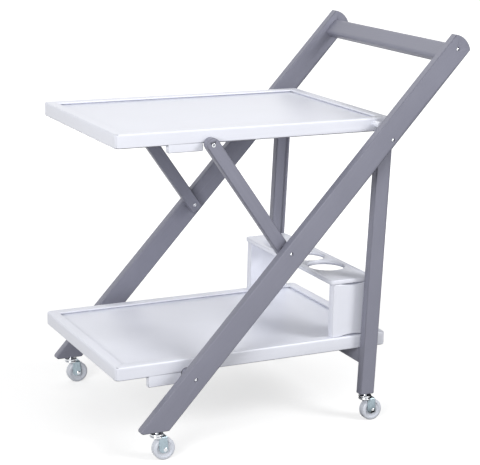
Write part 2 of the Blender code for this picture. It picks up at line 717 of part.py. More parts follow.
def make_caster(name, x, y, parent):
    """A swivel caster: stem and cup on the leg, fork turning on the stem, wheel turning on the axle."""
    foot = Vector((x - middle_x, y, 0))
    crown_half = WHEEL_WIDTH / 2 + CHEEK_GAP + CHEEK_THICK
    post_low = crown_low + SEAT_GAP
    cup = CUP_DIAMETER / 2
    profile = [(0, foot_height + STEM_LENGTH), (STEM_DIAMETER / 2, foot_height + STEM_LENGTH)]
    profile += [(STEM_DIAMETER / 2, foot_height - SEAT_GAP), (NECK_DIAMETER / 2, foot_height - SEAT_GAP)]
    profile += [(NECK_DIAMETER / 2, cup_top), (cup - CUP_ROUND, cup_top), (cup, cup_top - CUP_ROUND)]
    profile += [(cup, cup_low), (POST_DIAMETER / 2, cup_low), (POST_DIAMETER / 2, post_low), (0, post_low)]
    place_mesh(f"{name}_stem", turned(profile, ROUND_STEPS), foot, parent, "zinc")
    swivel = pivot(f"{name}_swivel", foot, parent)
    fork = place_mesh(f"{name}_fork", nose(), foot, swivel, "dark_zinc")
    crown = block((CHEEK_REAR, 2 * crown_half - CHEEK_THICK, CROWN_THICK))
    boolean(fork, crown, foot + Vector((CHEEK_REAR / 2, 0, crown_low + CROWN_THICK / 2)), "UNION")
    for side in SIDES.values():
        cheek = plate(cheek_outline(), CHEEK_THICK)
        boolean(fork, cheek, foot + Vector((0, side * (crown_half - CHEEK_THICK / 2), 0)), "UNION")
    race = turned(rod_profile(RACE_DIAMETER / 2, crown_top - CROWN_THICK / 2, race_top), ROUND_STEPS)
    boolean(fork, race, foot, "UNION")
    bore = turned(rod_profile(POST_DIAMETER / 2 + SEAT_GAP, crown_low - OVERRUN, race_top + OVERRUN))
    boolean(fork, bore, foot)
    axle_point = foot + Vector((TRAIL, 0, wheel_radius))
    reach = crown_half + OVERRUN
    boolean(fork, across(turned(rod_profile(AXLE_DIAMETER / 2 + SEAT_GAP, -reach, reach))), axle_point)
    rolling = pivot(f"{name}_axis", axle_point, swivel)
    wheel = across(turned(wheel_profile(), ROUND_STEPS))
    place_mesh(f"{name}_wheel", wheel, axle_point, rolling, "clear_plastic")
    head = crown_half + SEAT_GAP
    shank = [(AXLE_DIAMETER / 2, head), (AXLE_DIAMETER / 2, -head)]
    rivet = RIVET_DIAMETER / 2
    tip = head + RIVET_HEIGHT
    profile = [(0, tip), (rivet - RIVET_HEIGHT, tip), (rivet, head)] + shank
    profile += [(rivet, -head), (rivet - RIVET_HEIGHT, -tip), (0, -tip)]
    place_mesh(f"{name}_axle", across(turned(profile)), axle_point, swivel, "zinc")


def nose():
    """The round front of the fork's crown, about the stem's axis on the floor."""
    edge = NOSE_DIAMETER / 2
    profile = [(0, crown_top), (edge - NOSE_ROUND, crown_top), (edge, crown_top - NOSE_ROUND)]
    profile += [(edge, crown_low + NOSE_ROUND), (edge - NOSE_ROUND, crown_low), (0, crown_low)]
    return turned(profile, ROUND_STEPS)


def main():
    clear_scene()
    rear_swing = pivot("rear_frame_pivot", world(rear_pivot, 0))
    brace_swing = pivot("brace_pivot", world(brace_pivot, 0))
    top_swing = pivot("top_tray_pivot", world(rod_high, 0), brace_swing)
    tray_swing = pivot("bottom_tray_pivot", world(rod_low, 0))
    holder_slide = pivot("holder_slide", world(Vector((TRAY_LENGTH, TRAY_TOP)), 0), tray_swing)
    make_long_frame()
    make_rear_frame(rear_swing)
    make_braces(brace_swing)
    make_tray("bottom_tray", TRAY_LENGTH, TRAY_TOP, rod_low, CLEAT_TO_ROD, CLEAT_DEPTH, tray_swing)
    size = (TOP_TRAY_LENGTH, TOP_TRAY_TOP)
    rims = make_tray("top_tray", *size, rod_high, TOP_CLEAT_TO_ROD, TOP_CLEAT_DEPTH, top_swing)
    make_pins(rims, top_swing)
    make_holder(holder_slide)
    for side_name, side in SIDES.items():
        make_caster(f"front_caster_{side_name}", front_stem_x, side * leg_centre, None)
        make_caster(f"rear_caster_{side_name}", rear_foot_x, side * mid_centre, rear_swing)


main()
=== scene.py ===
"""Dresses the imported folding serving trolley: painted boards, turned fittings and a pale studio."""

import json
import math
from functools import cache

import bmesh
import bpy
from bpy.props import FloatProperty, FloatVectorProperty, IntProperty, PointerProperty
from mathutils import Matrix, Vector


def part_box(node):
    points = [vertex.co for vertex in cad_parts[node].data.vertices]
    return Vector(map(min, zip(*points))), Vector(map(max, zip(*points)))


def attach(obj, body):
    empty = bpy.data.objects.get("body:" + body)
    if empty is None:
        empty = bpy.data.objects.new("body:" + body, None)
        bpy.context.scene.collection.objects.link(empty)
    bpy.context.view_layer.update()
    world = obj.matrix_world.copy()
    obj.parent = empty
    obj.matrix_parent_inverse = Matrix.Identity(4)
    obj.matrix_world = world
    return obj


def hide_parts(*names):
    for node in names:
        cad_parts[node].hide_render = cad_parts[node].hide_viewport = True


bl_info = {
    "name": "Folding Serving Trolley",
    "version": (1, 0, 0),
    "blender": (4, 5, 0),
    "location": "View3D > Sidebar > Trolley",
    "description": "Builds the painted boards, fittings and casters of a folding serving trolley",
    "category": "Object",
}

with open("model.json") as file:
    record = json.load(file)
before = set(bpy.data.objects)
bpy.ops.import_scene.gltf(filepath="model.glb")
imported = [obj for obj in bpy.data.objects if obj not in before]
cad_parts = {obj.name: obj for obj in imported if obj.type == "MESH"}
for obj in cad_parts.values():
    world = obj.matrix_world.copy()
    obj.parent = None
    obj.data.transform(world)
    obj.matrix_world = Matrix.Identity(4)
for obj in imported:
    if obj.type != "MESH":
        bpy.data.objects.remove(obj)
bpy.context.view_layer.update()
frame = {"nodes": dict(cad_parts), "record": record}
SIDES = {"left": -1, "right": 1}
CASTERS = ("front_caster_left", "front_caster_right", "rear_caster_left", "rear_caster_right")
RIM_GRAIN = {"left": "lengthwise", "right": "lengthwise", "front": "crosswise", "rear": "crosswise"}

# Corners nearer than this are one corner.
WELD = 0.00001
# Gap between pieces that turn or slide on each other, or that would share a face.
CLEARANCE = 0.0003
# Radius of the circle that a turned profile is swept along.
CORE = 0.001
# Corners of a turned piece nearer than this are joined, at its poles and its seam.
POLE_WELD = 0.000001
# Edges sharper than this stay sharp in the shading, on boards and forks and then on turned pieces.
SMOOTH_ANGLE = math.radians(58)
TURNED_ANGLE = math.radians(38)

# Divisions of rounded edges, from the forks' bevelled ones to the bolts' domes.
BEVEL_STEPS = 2
EDGE_STEPS = 4
RING_STEPS = 5
ARC_STEPS = 6
RIVET_STEPS = 8
TREAD_STEPS = 9
DOME_STEPS = 10
# Divisions round a screw and round a wheel.
SCREW_STEPS = 24
WHEEL_STEPS = 72

# A face is a rim's inner face when its normal lies this much along the way in.
FACING = 0.9
# How far a sleeve nut stops short of the brace, so that they don't share a face.
NUT_SEAT = 0.0001

# Columns of corners across a fork's cheek, as parts of its width. Its pressed step ends at the fourth.
CHEEK_COLUMNS = (0, 0.12, 0.24, 0.34, 0.4, 0.55, 0.7, 0.85, 1)
STEP_COLUMN = 3
# Rows of faces up the straight part of a cheek.
CHEEK_ROWS = 4

# The ranges that most of a noise's values lie in.
NOISE_MIDDLE = (0.35, 0.65)
NOISE_WIDE = (0.3, 0.7)
# The grain's part in the paint's tone. The slow clouds make the rest.
GRAIN_IN_TONE = 0.35
# How far the clouds change the roughness of the paint and of the plating.
PAINT_UNEVEN = (-0.04, 0.04)
PLATING_UNEVEN = (-0.05, 0.07)
# Size of a mark in the plating as a part of a cloud's, and brightness of the dull places.
MARK_IN_CLOUD = 0.12
DULL_PLATING = 0.86
# Clouds in the paint are this many times as large as those in moulded plastic.
PLASTIC_CLOUDS = 8


class PaintSettings(bpy.types.PropertyGroup):
    """Colours and surface of the painted wood."""

    grey: FloatVectorProperty(
        name="Grey Paint", description="Paint on the legs, braces and bars",
        subtype="COLOR", size=3, min=0, max=1, default=(0.234, 0.237, 0.296),
    )
    grey_shade: FloatVectorProperty(
        name="Grey Shade", description="Slightly darker tone in the grey paint",
        subtype="COLOR", size=3, min=0, max=1, default=(0.212, 0.215, 0.270),
    )
    white: FloatVectorProperty(
        name="White Paint", description="Paint on the trays and the bottle holder",
        subtype="COLOR", size=3, min=0, max=1, default=(0.815, 0.831, 0.906),
    )
    white_shade: FloatVectorProperty(
        name="White Shade", description="Slightly darker tone in the white paint",
        subtype="COLOR", size=3, min=0, max=1, default=(0.785, 0.801, 0.878),
    )
    grain_size: FloatProperty(
        name="Grain Size", description="Width of one streak of wood grain under the paint",
        subtype="DISTANCE", min=0.0002, default=0.0016,
    )
    grain_stretch: FloatProperty(
        name="Grain Stretch", description="How much longer than wide a streak of grain is",
        min=1, default=22,
    )
    cloud_size: FloatProperty(
        name="Cloud Size", description="Size of the slow changes of tone in the paint",
        subtype="DISTANCE", min=0.005, default=0.09,
    )
    roller_size: FloatProperty(
        name="Roller Texture Size", description="Size of the fine dimples that the roller left",
        subtype="DISTANCE", min=0.0001, default=0.0011,
    )
    relief: FloatProperty(
        name="Relief", description="Depth of the grain and dimples in the paint",
        subtype="DISTANCE", min=0, default=0.00005,
    )
    grey_roughness: FloatProperty(
        name="Grey Roughness", description="How dull the grey paint is",
        subtype="FACTOR", min=0, max=1, default=0.46,
    )
    white_roughness: FloatProperty(
        name="White Roughness", description="How dull the white paint is",
        subtype="FACTOR", min=0, max=1, default=0.34,
    )
    varnish: FloatProperty(
        name="Varnish", description="Strength of the thin clear coat over the paint",
        subtype="FACTOR", min=0, max=1, default=0.12,
    )
    varnish_roughness: FloatProperty(
        name="Varnish Roughness", description="How dull the clear coat is",
        subtype="FACTOR", min=0, max=1, default=0.3,
    )


class MetalSettings(bpy.types.PropertyGroup):
    """Colours of the zinc-plated and plastic fittings."""

    zinc: FloatVectorProperty(
        name="Bright Zinc", description="Bolts, rods, stems and rivets",
        subtype="COLOR", size=3, min=0, max=1, default=(0.780, 0.795, 0.825),
    )
    blue_zinc: FloatVectorProperty(
        name="Blue Zinc", description="Pressed forks of the casters",
        subtype="COLOR", size=3, min=0, max=1, default=(0.415, 0.505, 0.558),
    )
    washer: FloatVectorProperty(
        name="Washer Plastic", description="Black washers between the boards",
        subtype="COLOR", size=3, min=0, max=1, default=(0.026, 0.026, 0.031),
    )
    wheel: FloatVectorProperty(
        name="Wheel Plastic", description="Milky translucent wheels",
        subtype="COLOR", size=3, min=0, max=1, default=(0.800, 0.830, 0.900),
    )
    wheel_deep: FloatVectorProperty(
        name="Wheel Depth Tone", description="Tone of the wheels towards the hub",
        subtype="COLOR", size=3, min=0, max=1, default=(0.740, 0.770, 0.845),
    )
    brushing: FloatProperty(
        name="Brushing Size", description="Width of the fine marks in the plating",
        subtype="DISTANCE", min=0.00005, default=0.0005,
    )
    zinc_roughness: FloatProperty(
        name="Bright Zinc Roughness", description="How dull the bolts, rods, stems and rivets are",
        subtype="FACTOR", min=0, max=1, default=0.12,
    )
    zinc_relief: FloatProperty(
        name="Bright Zinc Relief", description="Depth of the marks in the bright plating",
        subtype="DISTANCE", min=0, default=0.00001,
    )
    blue_roughness: FloatProperty(
        name="Blue Zinc Roughness", description="How dull the forks are",
        subtype="FACTOR", min=0, max=1, default=0.32,
    )
    blue_relief: FloatProperty(
        name="Blue Zinc Relief", description="Depth of the marks in the forks' plating",
        subtype="DISTANCE", min=0, default=0.00003,
    )
    washer_roughness: FloatProperty(
        name="Washer Roughness", description="How dull the black washers are",
        subtype="FACTOR", min=0, max=1, default=0.5,
    )
    wheel_roughness: FloatProperty(
        name="Wheel Roughness", description="How dull the wheels are",
        subtype="FACTOR", min=0, max=1, default=0.3,
    )
    wheel_clearness: FloatProperty(
        name="Wheel Clearness", description="Part of the light that passes through the milky wheels",
        subtype="FACTOR", min=0, max=1, default=0.12,
    )
    wheel_bending: FloatProperty(
        name="Wheel Refraction", description="Index of refraction of the wheels' plastic",
        min=1, default=1.47,
    )


class FittingSettings(bpy.types.PropertyGroup):
    """Sizes of the bolts, rods and washers."""

    head_height: FloatProperty(
        name="Bolt Head Height", description="Height of a bolt's domed head",
        subtype="DISTANCE", default=0.0026,
    )
    head_round: FloatProperty(
        name="Bolt Head Crown", description="How far the head's dome rises over its rim",
        subtype="DISTANCE", default=0.0025,
    )
    shank: FloatProperty(
        name="Bolt Shank", description="Diameter of a bolt's shank",
        subtype="DISTANCE", default=0.005,
    )
    nut_socket: FloatProperty(
        name="Nut Socket", description="Width across the flats of the hexagonal socket in a sleeve nut",
        subtype="DISTANCE", default=0.0024,
    )
    screw_socket: FloatProperty(
        name="Screw Socket", description="Width across the flats of the hexagonal socket in a screw",
        subtype="DISTANCE", default=0.00192,
    )
    screw_inset: FloatProperty(
        name="Screw Inset", description="How far along a cleat its screws lie, from each end",
        subtype="FACTOR", min=0, max=0.5, default=0.2,
    )
    washer_bore: FloatProperty(
        name="Washer Bore", description="Hole through a washer",
        subtype="DISTANCE", default=0.0056,
    )
    washer_edge: FloatProperty(
        name="Washer Edge", description="Rounding of a washer's rim",
        subtype="DISTANCE", default=0.0012,
    )
    spacer_bore: FloatProperty(
        name="Spacer Bore", description="Hole through the wooden spacer on the lower rod",
        subtype="DISTANCE", default=0.0086,
    )
    spacer_edge: FloatProperty(
        name="Spacer Edge", description="Rounding of a spacer's rim",
        subtype="DISTANCE", default=0.0010,
    )
    rod_bore: FloatProperty(
        name="Rod Bore", description="Threaded hole in each end of the upper rod",
        subtype="DISTANCE", default=0.004,
    )
    rod_bore_depth: FloatProperty(
        name="Rod Bore Depth", description="Depth of the hole in the rod's ends",
        subtype="DISTANCE", default=0.012,
    )
    rod_edge: FloatProperty(
        name="Rod Edge", description="Rounding of the rods' ends",
        subtype="DISTANCE", default=0.0005,
    )
    pin_edge: FloatProperty(
        name="Pin Edge", description="Rounding of the end of a tray pin",
        subtype="DISTANCE", default=0.0015,
    )
    screw: FloatProperty(
        name="Screw Head", description="Diameter of the screws under the trays",
        subtype="DISTANCE", default=0.0064,
    )
    screw_stand: FloatProperty(
        name="Screw Stand", description="How far a screw's head stands out of the wood",
        subtype="DISTANCE", default=0.0005,
    )
    seam: FloatProperty(
        name="Seam Fill", description="How far the paint on a cleat reaches up over the rim's eased edge",
        subtype="DISTANCE", default=0.0017,
    )
    slot_height: FloatProperty(
        name="Slot Height", description="Height of the slot between a tray's panel and its rims",
        subtype="DISTANCE", default=0.0017,
    )
    slot_depth: FloatProperty(
        name="Slot Depth", description="Depth of the slot between a tray's panel and its rims",
        subtype="DISTANCE", default=0.005,
    )
    nut: FloatProperty(
        name="Sleeve Nut", description="Diameter of the nuts inside the braces",
        subtype="DISTANCE", default=0.0068,
    )
    nut_height: FloatProperty(
        name="Sleeve Nut Height", description="Height of the nuts inside the braces",
        subtype="DISTANCE", default=0.0010,
    )
    rod_washer: FloatProperty(
        name="Rod Washer", description="Thickness of the washers between the lower tray and the spacers",
        subtype="DISTANCE", default=0.0010,
    )
    steps: IntProperty(
        name="Divisions", description="Divisions round a turned fitting",
        min=12, default=40,
    )


class HandleSettings(bpy.types.PropertyGroup):
    """Section of the push bar."""

    height: FloatProperty(
        name="Height", description="Height of the bar's section along the legs",
        subtype="DISTANCE", default=0.038,
    )
    thickness: FloatProperty(
        name="Thickness", description="Thickness of the bar's section",
        subtype="DISTANCE", default=0.020,
    )
    rounding: FloatProperty(
        name="Rounding", description="Radius along the bar's edges",
        subtype="DISTANCE", default=0.007,
    )
    steps: IntProperty(
        name="Divisions", description="Divisions of each rounded edge",
        min=2, default=12,
    )


class CasterSettings(bpy.types.PropertyGroup):
    """Sizes of the casters that their CAD boxes don't give."""

    cup_height: FloatProperty(
        name="Cup Height", description="Height of the cup under the foot",
        subtype="DISTANCE", default=0.0028,
    )
    cup_round: FloatProperty(
        name="Cup Rounding", description="Rounding of the edges of the cup and the fork's nose",
        subtype="DISTANCE", default=0.001,
    )
    neck: FloatProperty(
        name="Neck", description="Diameter of the nut between the foot and the cup",
        subtype="DISTANCE", default=0.010,
    )
    stem: FloatProperty(
        name="Stem", description="Diameter of the stem in the foot",
        subtype="DISTANCE", default=0.008,
    )
    post: FloatProperty(
        name="Post", description="Diameter of the post that the fork turns on",
        subtype="DISTANCE", default=0.006,
    )
    race: FloatProperty(
        name="Race", description="Diameter of the ball race on the fork",
        subtype="DISTANCE", default=0.019,
    )
    race_height: FloatProperty(
        name="Race Height", description="Height of the ball race over the crown",
        subtype="DISTANCE", default=0.0019,
    )
    sheet: FloatProperty(
        name="Fork Sheet", description="Thickness of the fork's steel",
        subtype="DISTANCE", default=0.0018,
    )
    crown_height: FloatProperty(
        name="Crown Height", description="Height of the fork's round nose",
        subtype="DISTANCE", default=0.003,
    )
    cheek_width: FloatProperty(
        name="Cheek Width", description="Width of the fork over the outer faces of its cheeks",
        subtype="DISTANCE", default=0.0226,
    )
    cheek_front: FloatProperty(
        name="Cheek Front", description="Distance from the stem's axis back to a cheek's front edge",
        subtype="DISTANCE", default=0.001,
    )
    cheek_rear: FloatProperty(
        name="Cheek Rear", description="Reach of the crown behind the stem's axis",
        subtype="DISTANCE", default=0.016,
    )
    cheek_round: FloatProperty(
        name="Cheek Rounding", description="Radius of a cheek's lower front corner",
        subtype="DISTANCE", default=0.008,
    )
    cheek_step: FloatProperty(
        name="Cheek Step", description="Depth of the pressed step down a cheek",
        subtype="DISTANCE", default=0.0004,
    )
    bend: FloatProperty(
        name="Bend", description="Outer radius of the bends between crown and cheeks",
        subtype="DISTANCE", default=0.0028,
    )
    fork_edge: FloatProperty(
        name="Fork Edge", description="Rounding of the fork's edges",
        subtype="DISTANCE", default=0.00035,
    )
    axle: FloatProperty(
        name="Axle", description="Diameter of the axle",
        subtype="DISTANCE", default=0.005,
    )
    rivet: FloatProperty(
        name="Rivet", description="Diameter of the axle's rivet heads",
        subtype="DISTANCE", default=0.0075,
    )
    tread_round: FloatProperty(
        name="Tread Rounding", description="Rounding of the tread's shoulders",
        subtype="DISTANCE", default=0.0035,
    )
    hub: FloatProperty(
        name="Hub", description="Diameter of the wheel's hub",
        subtype="DISTANCE", default=0.014,
    )
    recess: FloatProperty(
        name="Recess", description="Outer diameter of the recess round the hub",
        subtype="DISTANCE", default=0.030,
    )
    recess_depth: FloatProperty(
        name="Recess Depth", description="Depth of the recess round the hub",
        subtype="DISTANCE", default=0.0010,
    )


class StudioSettings(bpy.types.PropertyGroup):
    """Camera, floor and lights."""

    camera_place: FloatVectorProperty(
        name="Camera Place", description="Where the photograph was taken from",
        subtype="TRANSLATION", size=3, default=(-1.28373, -2.58006, 1.06432),
    )
    pan: FloatProperty(
        name="Pan", description="Turn of the view from +Y towards +X",
        subtype="ANGLE", default=math.radians(26.273),
    )
    tilt: FloatProperty(
        name="Tilt", description="Slope of the view below the horizon",
        subtype="ANGLE", default=math.radians(14.033),
    )
    roll: FloatProperty(
        name="Roll", description="Turn of the camera about its own view",
        subtype="ANGLE", default=math.radians(-1.1336),
    )
    lens: FloatProperty(
        name="Lens", description="Focal length in millimetres",
        subtype="DISTANCE_CAMERA", default=113.56,
    )
    sensor: FloatProperty(
        name="Sensor", description="Width of the camera's sensor in millimetres",
        subtype="DISTANCE_CAMERA", default=36,
    )
    floor_reach: FloatProperty(
        name="Floor Reach", description="Distance from the trolley to the floor's edge",
        subtype="DISTANCE", default=9.0,
    )
    shadow_reach: FloatProperty(
        name="Shadow Reach", description="Distance from the middle within which shadows show fully",
        subtype="DISTANCE", default=0.5,
    )
    shadow_end: FloatProperty(
        name="Shadow End", description="Distance from the middle beyond which shadows don't show",
        subtype="DISTANCE", default=1.5,
    )
    floor_share: FloatProperty(
        name="Floor Light Share", description="Part of the floor's brightness that shadows can dim",
        subtype="FACTOR", min=0, max=1, default=0.35,
    )
    floor_tone: FloatProperty(
        name="Floor Tone", description="How much of the lamps' light the floor gives back",
        subtype="FACTOR", min=0, max=1, default=0.47,
    )
    floor_bounce: FloatProperty(
        name="Floor Bounce", description="Part of the floor's light that reaches the trolley",
        subtype="FACTOR", min=0, max=1, default=0.45,
    )
    key: FloatProperty(
        name="Key Light", description="Power of the front light", subtype="POWER", default=63,
    )
    key_place: FloatVectorProperty(
        name="Key Light Place", description="Where the front light stands",
        subtype="TRANSLATION", size=3, default=(-2.4, -2.0, 1.5),
    )
    key_size: FloatProperty(
        name="Key Light Size", description="Diameter of the front light",
        subtype="DISTANCE", default=1.5,
    )
    side: FloatProperty(
        name="Side Light", description="Power of the light near the bar", subtype="POWER", default=37,
    )
    side_place: FloatVectorProperty(
        name="Side Light Place", description="Where the light near the bar stands",
        subtype="TRANSLATION", size=3, default=(1.4, -1.8, 1.9),
    )
    side_size: FloatProperty(
        name="Side Light Size", description="Diameter of the light near the bar",
        subtype="DISTANCE", default=1.0,
    )
    top: FloatProperty(
        name="Top Light", description="Power of the overhead light", subtype="POWER", default=9,
    )
    top_place: FloatVectorProperty(
        name="Top Light Place", description="Where the overhead light hangs",
        subtype="TRANSLATION", size=3, default=(-0.2, 1.2, 2.4),
    )
    top_size: FloatProperty(
        name="Top Light Size", description="Diameter of the overhead light",
        subtype="DISTANCE", default=1.8,
    )
    middle: FloatVectorProperty(
        name="Middle", description="The place on the trolley that the front and overhead lights face",
        subtype="TRANSLATION", size=3, default=(0, 0, 0.35),
    )
    bar: FloatVectorProperty(
        name="Bar", description="The place on the trolley that the side light faces",
        subtype="TRANSLATION", size=3, default=(0.25, 0, 0.7),
    )
    # The cards are black sheets that show in reflections alone: painted dark reflections on the bolts and
    # other glossy parts.
    side_card_low: FloatVectorProperty(
        name="Side Card Low", description="Lower front corner of the card beside the trolley",
        subtype="TRANSLATION", size=3, default=(0.9, -1.1, 0),
    )
    side_card_high: FloatVectorProperty(
        name="Side Card High", description="Upper rear corner of the card beside the trolley",
        subtype="TRANSLATION", size=3, default=(0.9, 1.2, 1),
    )
    floor_card_low: FloatVectorProperty(
        name="Floor Card Low", description="Near corner of the card on the floor",
        subtype="TRANSLATION", size=3, default=(0, -0.26, 0.001),
    )
    floor_card_high: FloatVectorProperty(
        name="Floor Card High", description="Far corner of the card on the floor",
        subtype="TRANSLATION", size=3, default=(0.9, 0.6, 0.001),
    )
    ambient: FloatProperty(
        name="Ambient", description="Strength of the all-round light", min=0, default=0.44,
    )


def body_of(node):
    """The moving body that holds a CAD node."""
    bodies = frame["record"]["behaviour"]["bodies"]
    return next(body for body, members in bodies.items() if node in members)


def centre_of(node):
    """The middle of a CAD node's box."""
    low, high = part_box(node)
    return (low + high) / 2


def settle(piece, body, slot, *nodes):
    """Fixes a finished piece to its body, in place of the CAD nodes that it stands for. Its slot is not
    used.
    """
    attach(piece, body)
    if nodes:
        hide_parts(*nodes)
    return piece


def add_object(name, mesh):
    """A mesh's object, at the origin and in the scene."""
    piece = bpy.data.objects.new(name, mesh)
    bpy.context.scene.collection.objects.link(piece)
    return piece


def add_node(tree, kind, settings=None, **inputs):
    """A node with its settings, and values or links for its inputs by name (underscores for spaces)."""
    node = tree.nodes.new(kind)
    for key, value in (settings or {}).items():
        setattr(node, key, value)
    for key, value in inputs.items():
        socket = node.inputs[key.replace("_", " ")]
        if isinstance(value, bpy.types.NodeSocket):
            tree.links.new(value, socket)
        else:
            socket.default_value = value
    return node


def new_group(name, kind, inputs, outputs):
    """A node group with named inputs and outputs, and its two end nodes."""
    tree = bpy.data.node_groups.new(name, kind)
    for label, socket in inputs:
        tree.interface.new_socket(label, in_out="INPUT", socket_type=socket)
    for label, socket in outputs:
        tree.interface.new_socket(label, in_out="OUTPUT", socket_type=socket)
    return tree, tree.nodes.new("NodeGroupInput"), tree.nodes.new("NodeGroupOutput")


def calculate(tree, operation, first, second, kind="ShaderNodeMath"):
    """The result of a Math or Vector Math node for two values or links."""
    node = tree.nodes.new(kind)
    node.operation = operation
    for socket, value in zip(node.inputs, (first, second)):
        if isinstance(value, bpy.types.NodeSocket):
            tree.links.new(value, socket)
        else:
            socket.default_value = value
    return node.outputs[0]


def noise(tree, vector, size, detail, roughness, distortion=0):
    """A noise from 0 to 1 with features of a given size."""
    node = add_node(
        tree, "ShaderNodeTexNoise", Vector=vector, Scale=calculate(tree, "DIVIDE", 1, size),
        Detail=detail, Roughness=roughness, Distortion=distortion,
    )
    return node.outputs["Fac"]


def remap(tree, value, given, wanted=(0, 1)):
    """A value moved from one range to another."""
    node = add_node(
        tree, "ShaderNodeMapRange", Value=value, From_Min=given[0], From_Max=given[1],
        To_Min=wanted[0], To_Max=wanted[1],
    )
    return node.outputs["Result"]


def mixed(tree, factor, first, second):
    """A colour between two others."""
    node = add_node(tree, "ShaderNodeMix", {"data_type": "RGBA"}, Factor=factor)
    colors = {socket.name: socket for socket in node.inputs if socket.type == "RGBA"}
    tree.links.new(first, colors["A"])
    tree.links.new(second, colors["B"])
    return next(socket for socket in node.outputs if socket.type == "RGBA")


@cache
def painted_wood_group():
    """Rolled paint over wood: slow changes of tone, faint streaks of grain and fine dimples."""
    tree, start, end = new_group(
        "Painted Wood", "ShaderNodeTree",
        [
            ("Vector", "NodeSocketVector"), ("Paint", "NodeSocketColor"), ("Shade", "NodeSocketColor"),
            ("Grain Size", "NodeSocketFloat"), ("Grain Stretch", "NodeSocketFloat"),
            ("Cloud Size", "NodeSocketFloat"), ("Roller Size", "NodeSocketFloat"),
            ("Roughness", "NodeSocketFloat"),
        ],
        [("Color", "NodeSocketColor"), ("Roughness", "NodeSocketFloat"), ("Height", "NodeSocketFloat")],
    )
    given = start.outputs
    squeeze = add_node(
        tree, "ShaderNodeCombineXYZ", X=calculate(tree, "DIVIDE", 1, given["Grain Stretch"]), Y=1, Z=1
    )
    along = calculate(tree, "MULTIPLY", given["Vector"], squeeze.outputs["Vector"], "ShaderNodeVectorMath")
    grain = noise(tree, along, given["Grain Size"], detail=3, roughness=0.6, distortion=0.4)
    cloud = noise(tree, given["Vector"], given["Cloud Size"], detail=4, roughness=0.55)
    roller = noise(tree, given["Vector"], given["Roller Size"], detail=1, roughness=0.4)
    streaks = calculate(tree, "MULTIPLY", grain, GRAIN_IN_TONE)
    patches = calculate(tree, "MULTIPLY", cloud, 1 - GRAIN_IN_TONE)
    tone = remap(tree, calculate(tree, "ADD", streaks, patches), NOISE_MIDDLE)
    uneven = remap(tree, cloud, NOISE_WIDE, PAINT_UNEVEN)
    rise = calculate(tree, "ADD", grain, roller)
    tree.links.new(mixed(tree, tone, given["Shade"], given["Paint"]), end.inputs["Color"])
    tree.links.new(calculate(tree, "ADD", given["Roughness"], uneven), end.inputs["Roughness"])
    tree.links.new(calculate(tree, "DIVIDE", rise, 2), end.inputs["Height"])
    return tree


@cache
def plated_metal_group():
    """Zinc plating: a slightly cloudy tone, with fine marks that roughen it here and there."""
    tree, start, end = new_group(
        "Plated Metal", "ShaderNodeTree",
        [
            ("Vector", "NodeSocketVector"), ("Metal", "NodeSocketColor"), ("Dull", "NodeSocketColor"),
            ("Mark Size", "NodeSocketFloat"), ("Roughness", "NodeSocketFloat"),
        ],
        [("Color", "NodeSocketColor"), ("Roughness", "NodeSocketFloat"), ("Height", "NodeSocketFloat")],
    )
    given = start.outputs
    marks = noise(tree, given["Vector"], given["Mark Size"], detail=2, roughness=0.5)
    cloud_size = calculate(tree, "DIVIDE", given["Mark Size"], MARK_IN_CLOUD)
    cloud = noise(tree, given["Vector"], cloud_size, detail=3, roughness=0.5)
    tone = remap(tree, cloud, NOISE_MIDDLE)
    uneven = remap(tree, cloud, NOISE_WIDE, PLATING_UNEVEN)
    tree.links.new(mixed(tree, tone, given["Dull"], given["Metal"]), end.inputs["Color"])
    tree.links.new(calculate(tree, "ADD", given["Roughness"], uneven), end.inputs["Roughness"])
    tree.links.new(marks, end.inputs["Height"])
    return tree


def patterned(name, group, base, relief, turn, **inputs):
    """A material whose colour, roughness and relief come from a node group, and its Principled shader."""
    made = bpy.data.materials.new(name)
    made.use_nodes = True
    made.diffuse_color = (*base, 1)
    tree = made.node_tree
    shader = tree.nodes["Principled BSDF"]
    place = tree.nodes.new("ShaderNodeTexCoord")
    mapping = add_node(tree, "ShaderNodeMapping", Vector=place.outputs["Object"], Rotation=turn)
    pattern = add_node(
        tree, "ShaderNodeGroup", {"node_tree": group}, Vector=mapping.outputs["Vector"], **inputs
    )
    bump = add_node(
        tree, "ShaderNodeBump", Strength=1, Distance=relief, Height=pattern.outputs["Height"]
    )
    tree.links.new(pattern.outputs["Color"], shader.inputs["Base Color"])
    tree.links.new(pattern.outputs["Roughness"], shader.inputs["Roughness"])
    tree.links.new(bump.outputs["Normal"], shader.inputs["Normal"])
    return made, shader


def paint(name, color, shade, roughness, turn):
    """Painted wood whose grain is turned to lie along the board."""
    sizes = bpy.context.scene.trolley_paint
    made, shader = patterned(
        name, painted_wood_group(), color, sizes.relief, turn,
        Paint=(*color, 1), Shade=(*shade, 1), Grain_Size=sizes.grain_size,
        Grain_Stretch=sizes.grain_stretch, Cloud_Size=sizes.cloud_size,
        Roller_Size=sizes.roller_size, Roughness=roughness,
    )
    shader.inputs["Coat Weight"].default_value = sizes.varnish
    shader.inputs["Coat Roughness"].default_value = sizes.varnish_roughness
    return made


def plating(name, metal, roughness, relief):
    """Zinc-plated steel."""
    sizes = bpy.context.scene.trolley_metal
    dull = [channel * DULL_PLATING for channel in metal]
    made, shader = patterned(
        name, plated_metal_group(), metal, relief, (0, 0, 0),
        Metal=(*metal, 1), Dull=(*dull, 1), Mark_Size=sizes.brushing, Roughness=roughness,
    )
    shader.inputs["Metallic"].default_value = 1
    return made


